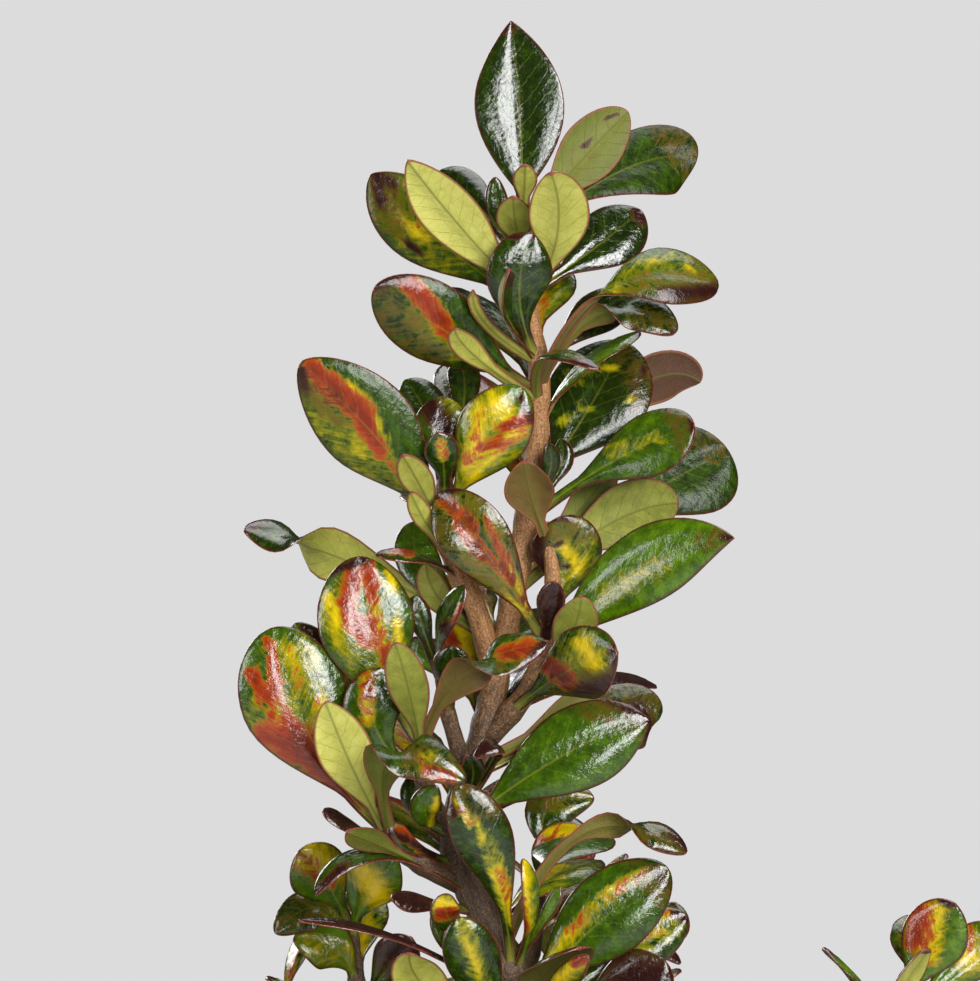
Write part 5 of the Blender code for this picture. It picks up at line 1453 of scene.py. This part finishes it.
        "murk": [(26, 199, 31.5, 192, 2.2)], "brown": [(30, 196, 31.8, 193, 0.6)]}),
    "N13": (0.16, 0.6, {"murk": [(28.5, 203, 35, 200, 2.4)], "brown": [(33, 202.5, 35.4, 200, 1)]}),
    "N14": (0.24, 0.5, {"orange": [(28, 186.2, 33, 187.4, 0.6), (26.4, 182.6, 30.6, 184, 0.5)],
        "olive": [(26, 181, 33, 186, 1.8)], "brown": [(33.5, 187.6, 35.5, 186, 0.7)]}),
    "N15": (0.08, 0.8, {"brown": [(33, 181, 34.5, 178, 1.2)]}),
    "N16": (0.06, 0.9, {"brown": [(24, 177, 33, 177, 3)]}),
    "N17": (0.4, 0.5, {"yellow": [(12, 176.5, 15.6, 180.6, 1.4)],
        "red": [(15, 180, 16.6, 181, 0.8)]}),
    "thin": (0.6, 0.1, {}),
    "beige": (0.2, 0.75, {"brown": [(20, 229, 30, 227.6, 2.4)]}),
    "G": (0.6, 0.3, {"red": [(79, 186, 78, 181, 1.6)], "orange": [(80, 187, 79.6, 178, 1.6)],
        "yellow": [(82, 187, 81, 178, 1.6)], "brown": [(83, 188.6, 85, 188, 0.8)]}),
    "H": (0.6, 0.3, {"yellow": [(85, 184, 88, 178, 2.6)], "orange": [(87, 184, 88, 180, 1.2)]}),
    "A": (0.6, 0.3, {"orange": [(-35, 195, -29.5, 191.5, 1.4)],
        "yellow": [(-35, 198.5, -28, 193, 2.4)]}),
    "B": (0.6, 0.2, {"yellow": [(-24, 194, -20, 188, 2.4)]}),
    "C": (0.25, 0.7, {"murk": [(-40, 185, -33, 189, 2.8)], "olive": [(-32, 189, -26, 184, 2)]}),
    "D": (0.8, 0.2, {"olive": [(-34, 180, -26, 177, 2)]}),
    "E": (0.15, 0.9, {"brown": [(-20, 182, -15, 176, 3.4)], "red": [(-19, 180, -18, 177, 0.8)]}),
    "O": (0.5, 0.4, {"red": [(10, 197.6, 19, 195.6, 1.5)], "orange": [(8, 201, 18, 198.6, 2.2)],
        "yellow": [(8, 202.6, 16, 202, 2)]}),
    "P": (0.24, 0.7, {"murk": [(8, 207, 18, 209, 2.4)], "olive": [(12, 206, 18, 206, 1.6)]}),
}

# %% [markdown]
# Leaves without a name get a look of their own by chance: all have some brown at the tip, most
# have yellow along one half, and fewer have orange or red there too. Their strokes are placed
# on the blade itself, as length from the foot and distance from the midrib.

# %% Looks by chance
BRIGHT_GREEN = (0.08, 0.7)
BROWN_UNDER = (0.0, 0.6)
TIP_BROWN = (0.3, 1.4)
LEAN = (0.05, 0.16)
YELLOW_FROM, ORANGE_FROM, RED_FROM = 0.35, 0.6, 0.75


def own_look(length, width, seed):
    """A look for a leaf that has none by name; its strokes lie along and across the blade."""
    draw = random.Random(seed)
    bright, under = draw.uniform(*BRIGHT_GREEN), draw.uniform(*BROWN_UNDER)
    end = 0.97 * length
    strokes = {"brown": [(end, -0.3 * width, end, 0.3 * width, draw.uniform(*TIP_BROWN))]}
    lean = draw.choice((-1, 1)) * draw.uniform(*LEAN) * width
    kind = draw.random()
    if kind > YELLOW_FROM:
        strokes["olive"] = [(0.3 * length, lean, 0.8 * length, lean, 0.3 * width)]
        strokes["yellow"] = [(0.2 * length, 0.5 * lean, 0.7 * length, lean, 0.10 * width)]
    if kind > ORANGE_FROM:
        start, end = draw.uniform(0.3, 0.5) * length, draw.uniform(0.65, 0.9) * length
        strokes["orange"] = [(start, lean, end, 0.4 * lean, 0.14 * width)]
    if kind > RED_FROM:
        strokes["red"] = [(start, lean, end, 1.4 * lean, 0.10 * width)]
    return bright, under, strokes


def painted(places, strokes):
    """How much red, yellow and brown each place has: 1 on a stroke's line, 0.5 at its radius."""
    amounts = np.zeros((len(places), 3))
    for paint, rows in strokes.items():
        for x0, z0, x1, z1, radius in rows:
            start, run = np.array((x0, z0), float), np.array((x1 - x0, z1 - z0), float)
            share = np.clip((places - start) @ run / (run @ run), 0.0, 1.0)
            distance = np.linalg.norm(places - start - share[:, None] * run, axis=1)
            amount = np.clip(1.0 - distance / (2.0 * radius), 0.0, 1.0)
            amounts = np.maximum(amounts, np.minimum(amount[:, None], PAINTS[paint]))
    return amounts


# %% [markdown]
# The blades of a stem's leaves are joined into one mesh. Four sets of numbers go with its
# points: the place on the blade as shares, the place in millimetres, the paint, and the tone
# of the whole leaf.

# %% Leaves as one mesh
WIDE_BLADE = 8.5
# Rows along a blade and columns across it
WIDE_GRID = (32, 14)
NARROW_GRID = (22, 10)
HIDDEN_GRID = (20, 10)


def grid_for(leaf):
    """Leaves of the front view are finer than those that chance placed."""
    if leaf.name is None:
        return HIDDEN_GRID
    return WIDE_GRID if leaf.width > WIDE_BLADE or leaf.turned_over else NARROW_GRID


def leafy_mesh(name, leaves, seed):
    """Fine blades of several leaves as one mesh, with what the materials read."""
    parts = {"blade": [], "span": [], "paint": [], "tone": []}
    points, faces, below = [], [], []
    start = 0
    for number, leaf in enumerate(leaves):
        leaf_seed = seed * SEEDS_A_STEM + number
        rows, columns = grid_for(leaf)
        corners, blade_map, span = fine_blade(leaf, rows, columns, leaf_seed)
        own_faces, own_below = lofted_faces(rows, columns)
        if leaf.name in LOOKS:
            bright, under, strokes = LOOKS[leaf.name]
            places = corners[:, [0, 2]]
        else:
            bright, under, strokes = own_look(span[-1, 0], leaf.width, leaf_seed)
            places = span[:, :2]
        points.append(corners)
        faces += [tuple(start + corner for corner in face) for face in own_faces]
        below += own_below
        parts["blade"].append(blade_map)
        parts["span"].append(span)
        parts["paint"].append(painted(places, strokes))
        tone = (bright, under, WORN.get(leaf.name, USUAL_WEAR))
        parts["tone"].append(np.tile(tone, (len(corners), 1)))
        start += len(corners)
    mesh = bpy.data.meshes.new(name)
    mesh.from_pydata(np.vstack(points) * MM, [], faces)
    for attribute, rows in parts.items():
        keep(mesh, attribute, np.vstack(rows))
    mesh.polygons.foreach_set("material_index", below)
    mesh.shade_smooth()
    return mesh


# %% [markdown]
# Both sides of a leaf read the same stored numbers. They give a flat place on the blade in
# millimetres, and a feathered place that is measured along the side veins, so that a noise in
# it lies along them. Each leaf has its own number, which moves it to its own part of a noise.

# %% A place on a leaf
LEAF_SHIFT = 7.0
FEATHER_WIDTH = 0.3


def place_on_leaf(tree):
    """Where a point lies on its leaf, and what its leaf looks like, by name."""
    blade, span, paint, tone = [kept(tree, name) for name in ("blade", "span", "paint", "tone")]
    out = add(tree, "Math", {0: span["Y"]}, operation="ABSOLUTE")
    veinwise = add(tree, "Math", {0: out, 1: -VEIN_SLANT, 2: span["X"]},
                   operation="MULTIPLY_ADD")
    shift = add(tree, "Math", {0: span["Z"], 1: LEAF_SHIFT}, operation="MULTIPLY")
    across = add(tree, "Math", {0: span["Y"], 1: FEATHER_WIDTH}, operation="MULTIPLY")
    return {
        "t": blade["X"], "margin": blade["Z"], "out": out, "veinwise": veinwise,
        "red": paint["X"], "yellow": paint["Y"], "brown": paint["Z"],
        "bright": tone["X"], "under": tone["Y"], "worn": tone["Z"],
        "flat": add(tree, "CombineXYZ", {"X": span["X"], "Y": span["Y"], "Z": shift}),
        "feather": add(tree, "CombineXYZ", {"X": veinwise, "Y": across, "Z": shift}),
    }


def ragged_paint(tree, paint, ragged):
    """A paint's amount with noise added to it, but none where there is no paint."""
    near = add(tree, "Math", {0: paint, 1: 5.0}, operation="MULTIPLY", use_clamp=True)
    return add(tree, "Math", {0: near, 1: ragged, 2: paint}, operation="MULTIPLY_ADD")


def pigment_over(tree, colour, amount, stops):
    """Lays a pigment over a colour. A ramp makes its colour and its cover from its amount."""
    pigment = add(tree, "ValToRGB", {"Fac": amount}, stops=stops)
    return add(tree, "Mix", {"Factor": pigment.outputs["Alpha"], "A": colour, "B": pigment},
               data_type="RGBA")


def side_veins(tree, leaf, mottle, wander, start, end, share):
    """Side veins at an even pitch that wander with the mottle, by `wander` millimetres."""
    way = add(tree, "Math", {0: mottle, 1: wander, 2: leaf["veinwise"]},
              operation="MULTIPLY_ADD")
    way = add(tree, "Math", {0: way, 1: VEIN_PITCH / 2}, operation="PINGPONG")
    return add(tree, "MapRange", {"Value": way, "From Min": start, "From Max": end,
                                  "To Min": share, "To Max": 0.0})


# %% [markdown]
# The upper side of the leaf is living tissue under a clear wax. Its green is mottled everywhere,
# and each leaf has its own brightness of green. The strokes are roughened with a noise that is
# stretched along the side veins, 1 mm wide and 4 mm long, so patches end in feathered edges,
# as pigment does between veins. Ramps then turn the amounts of yellow and red into colour with
# clear borders.

# %% Pigments of the upper side
waxy_cuticle, tree, shader = new_material("waxy_cuticle")
leaf = place_on_leaf(tree)
feathers = add(tree, "TexNoise", {"Vector": leaf["feather"], "Scale": 0.9, "Detail": 6.0,
                                  "Roughness": 0.62})
mottle = add(tree, "TexNoise", {"Vector": leaf["flat"], "Scale": 0.42, "Detail": 6.0,
                                "Roughness": 0.62})
speckle = add(tree, "TexNoise", {"Vector": leaf["flat"], "Scale": 2.2, "Detail": 5.0,
                                 "Roughness": 0.65})
ragged = -1.10
for pattern, part in ((feathers, 1.0), (speckle, 0.35), (mottle, 0.85)):
    ragged = add(tree, "Math", {0: pattern, 1: part, 2: ragged}, operation="MULTIPLY_ADD")

patchy = 0.19
for pattern, part in ((mottle, 0.62), (leaf["bright"], 0.50), (speckle, 0.25)):
    patchy = add(tree, "Math", {0: pattern, 1: part, 2: patchy}, operation="MULTIPLY_ADD")
colour = add(tree, "ValToRGB", {"Fac": patchy}, stops=[
    (0.48, "#091002"), (0.68, "#192803"), (0.86, "#314B04"), (1.0, "#4B6806")])
colour = pigment_over(tree, colour, ragged_paint(tree, leaf["yellow"], ragged), [
    (0.14, "#3A4E08", 0.0), (0.30, "#565C07", 0.8), (0.46, "#787206"), (0.70, "#A29006"),
    (0.94, "#C2A60C")])
colour = pigment_over(tree, colour, ragged_paint(tree, leaf["red"], ragged), [
    (0.26, "#8A4E0E", 0.0), (0.42, "#8A3A0E", 0.85), (0.58, "#842E0E"), (0.90, "#6C200A")])

# %% [markdown]
# The midrib is a pale line that fades towards the tip, the side veins are fainter and stay off
# the margin, and the stalk is pale as well. Brown and maroon lie over all of these, because
# dead and reddened tissue hides the veins: first the brown patches, then the rim. The rim is
# maroon, and its outermost edge is a paler pink, a painted highlight on the rounded rim.

# %% Veins, brown patches and rim
MIDRIB_SHARE = 0.42
VEIN_SHARE = 0.10
STALK_SHARE = 0.8

rib = add(tree, "MapRange", {"Value": leaf["out"], "From Min": 0.05, "From Max": 0.30,
                             "To Min": MIDRIB_SHARE, "To Max": 0.0})
fade = add(tree, "MapRange", {"Value": leaf["t"], "From Min": 0.1, "From Max": 0.9,
                              "To Min": 1.0, "To Max": 0.15})
rib = add(tree, "Math", {0: rib, 1: fade}, operation="MULTIPLY")
vein = side_veins(tree, leaf, mottle, 2.4, 0.0, 0.22, VEIN_SHARE)
inner = add(tree, "MapRange", {"Value": leaf["margin"], "From Min": 0.8, "From Max": 3.0})
inner = add(tree, "Math", {0: vein, 1: inner}, operation="MULTIPLY")
stalk = add(tree, "MapRange", {"Value": leaf["t"], "From Min": 0.20, "From Max": 0.06,
                               "To Min": 0.0, "To Max": STALK_SHARE})
for line, tint in ((rib, "#8A8828"), (inner, "#8F9A3A"), (stalk, "#8B8A3C")):
    colour = add(tree, "Mix", {"Factor": line, "A": colour, "B": linear(tint)},
                 data_type="RGBA")
colour = pigment_over(tree, colour, ragged_paint(tree, leaf["brown"], ragged), [
    (0.14, "#4A3410", 0.0), (0.36, "#40260E", 0.65), (0.60, "#33170F", 0.92),
    (0.85, "#260F0C")])
# Maroon rim, with a paler pink painted highlight along its very edge
rim_and_painted_edge_highlight = add(tree, "Math", {0: speckle, 1: 0.5, 2: leaf["margin"]}, operation="MULTIPLY_ADD")
colour = pigment_over(tree, colour, rim_and_painted_edge_highlight, [
    (0.26, "#7E4232"), (0.38, "#3E140E"), (0.85, "#2E1A0A", 0.0)])

# %% [markdown]
# Over the tissue lies the thick wax that the plant is known for, its own varnish. It gives the
# eye a sharp, bright gloss: an IOR of about 1.5 and little roughness, with a clear coat on the
# freshest leaves. The wax is slightly rippled and pored and sinks a little into the veins, so
# a mirrored lamp breaks up into streaks. Where it is worn it is rougher and mirrors less.

# %% Wax
WAX_RELIEF = 0.22
WORN_ROUGHNESS = 0.16

ripple = add(tree, "TexNoise", {"Vector": leaf["flat"], "Scale": 0.7, "Detail": 3.0})
pores = add(tree, "TexNoise", {"Vector": leaf["flat"], "Scale": 4.0, "Detail": 2.0})
relief = ripple
for pattern, part in ((pores, 0.07), (feathers, 0.22), (vein, -0.5)):
    relief = add(tree, "Math", {0: pattern, 1: part, 2: relief}, operation="MULTIPLY_ADD")
dents = add(tree, "Bump", {"Height": relief, "Distance": WAX_RELIEF * MM})
shine = add(tree, "MapRange", {"Value": speckle, "From Min": 0.3, "From Max": 0.7,
                               "To Min": 0.09, "To Max": 0.16})
shine = add(tree, "Math", {0: leaf["worn"], 1: WORN_ROUGHNESS, 2: shine},
            operation="MULTIPLY_ADD")
mirror = add(tree, "MapRange", {"Value": leaf["worn"], "To Min": 0.5, "To Max": 0.12})
coat = add(tree, "MapRange", {"Value": leaf["worn"], "To Min": 0.35, "To Max": 0.0})
fill(tree, shader, {"Base Color": colour, "Normal": dents, "IOR": 1.5, "Roughness": shine,
                    "Specular IOR Level": mirror, "Coat Weight": coat,
                    "Coat Roughness": 0.06})

# %% [markdown]
# The underside has hardly any wax and no bright pigments. It is a matt yellow green, browner on
# old leaves, and the veins show as a darker net. The net is the border of a Voronoi pattern of
# 2.5 mm cells, and the midrib and side veins are drawn as on the upper side. A broad darker
# green band along the midrib, weaker on brown leaves, is painted shade.

# %% Matt tissue, the underside of the leaf
matt_underside, tree, shader = new_material("matt_underside")
leaf = place_on_leaf(tree)
mottle = add(tree, "TexNoise", {"Vector": leaf["flat"], "Scale": 0.4, "Detail": 4.0})
speckle = add(tree, "TexNoise", {"Vector": leaf["flat"], "Scale": 3.0, "Detail": 4.0})
tone = leaf["under"]
for pattern, part in ((mottle, 0.3), (speckle, 0.12)):
    tone = add(tree, "Math", {0: pattern, 1: part, 2: tone}, operation="MULTIPLY_ADD")
colour = add(tree, "ValToRGB", {"Fac": tone}, stops=[
    (0.12, "#C6C26A"), (0.34, "#A2A046"), (0.55, "#6C722A"), (0.70, "#5A6022"),
    (0.88, "#5E4424"), (1.0, "#4A3022")])

vein = side_veins(tree, leaf, mottle, 2.2, 0.02, 0.16, 0.38)
rib = add(tree, "MapRange", {"Value": leaf["out"], "From Min": 0.10, "From Max": 0.32,
                             "To Min": 0.55, "To Max": 0.0})
bends = add(tree, "TexNoise", {"Vector": leaf["flat"], "Scale": 0.8}).outputs["Color"]
bent = add(tree, "Mix", {"Factor": 0.12, "A": leaf["flat"], "B": bends}, data_type="VECTOR")
net = add(tree, "TexVoronoi", {"Vector": bent, "Scale": 0.36},
          feature="DISTANCE_TO_EDGE").outputs["Distance"]
net = add(tree, "MapRange", {"Value": net, "From Min": 0.01, "From Max": 0.05,
                             "To Min": 0.14, "To Max": 0.0})
lines = add(tree, "Math", {0: vein, 1: net}, operation="MAXIMUM")
lines = add(tree, "Math", {0: lines, 1: rib}, operation="MAXIMUM")
# Painted shade: a broad darker green band along the midrib, fading out towards the margin
painted_midrib_shade = add(tree, "MapRange", {"Value": leaf["out"], "From Max": 4.5, "To Min": 0.5,
                              "To Max": 0.0})
fresh = add(tree, "Math", {0: 1.0, 1: leaf["under"]}, operation="SUBTRACT", use_clamp=True)
painted_midrib_shade = add(tree, "Math", {0: painted_midrib_shade, 1: fresh}, operation="MULTIPLY")
for line, tint in ((painted_midrib_shade, "#7C8030"), (lines, "#55561C")):
    colour = add(tree, "Mix", {"Factor": line, "A": colour, "B": linear(tint)},
                 data_type="RGBA")
dead = add(tree, "Math", {0: speckle, 1: 0.4, 2: leaf["brown"]}, operation="MULTIPLY_ADD")
colour = pigment_over(tree, colour, dead, [
    (0.55, "#6B5030", 0.0), (0.72, "#4A3424", 0.9), (1.0, "#35221C")])
colour = pigment_over(tree, colour, leaf["margin"], [
    (0.0, "#6E3228"), (0.28, "#7A4A30", 0.9), (0.55, "#7A5A36", 0.0)])
relief = add(tree, "Math", {0: lines, 1: 1.2, 2: speckle}, operation="MULTIPLY_ADD")
dents = add(tree, "Bump", {"Height": relief, "Distance": 0.10 * MM})
fill(tree, shader, {"Base Color": colour, "Roughness": 0.55, "Specular IOR Level": 0.25,
                    "Normal": dents})

# %% [markdown]
# The leaves of one stem are one piece. The leader's are two, the named leaves of the front view
# and the rest, to keep each mesh a handy size. One wide leaf behind has its bend eased first,
# by under three millimetres, because a smooth outline can't follow a bend as tight as that.

# %% Dress every stem with its leaves
EASED = {"A": (-30.2, 38.0, 190.6)}
for leaf in leaves["back_left_shoot"]:
    if leaf.name in EASED:
        leaf.middle = Vector(EASED[leaf.name])

for number, (node, rows) in enumerate(leaves.items()):
    groups = {"_leaves": rows}
    if node == "leader":
        groups = {"_front_leaves": [leaf for leaf in rows if leaf.name],
                  "_back_leaves": [leaf for leaf in rows if not leaf.name]}
    for ending, group in groups.items():
        mesh = leafy_mesh(node + ending, group, number)
        show(node + ending, mesh, [waxy_cuticle, matt_underside], node)

# %% [markdown]
# Last, the dressed plant is measured against the solid one, and both sizes are printed.

# %% Sizes
shown_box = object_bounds()
for label, box in (("solid", cad_box), ("dressed", shown_box)):
    print(label, [round((high - low) / MM, 1) for low, high in zip(*box)], "mm")
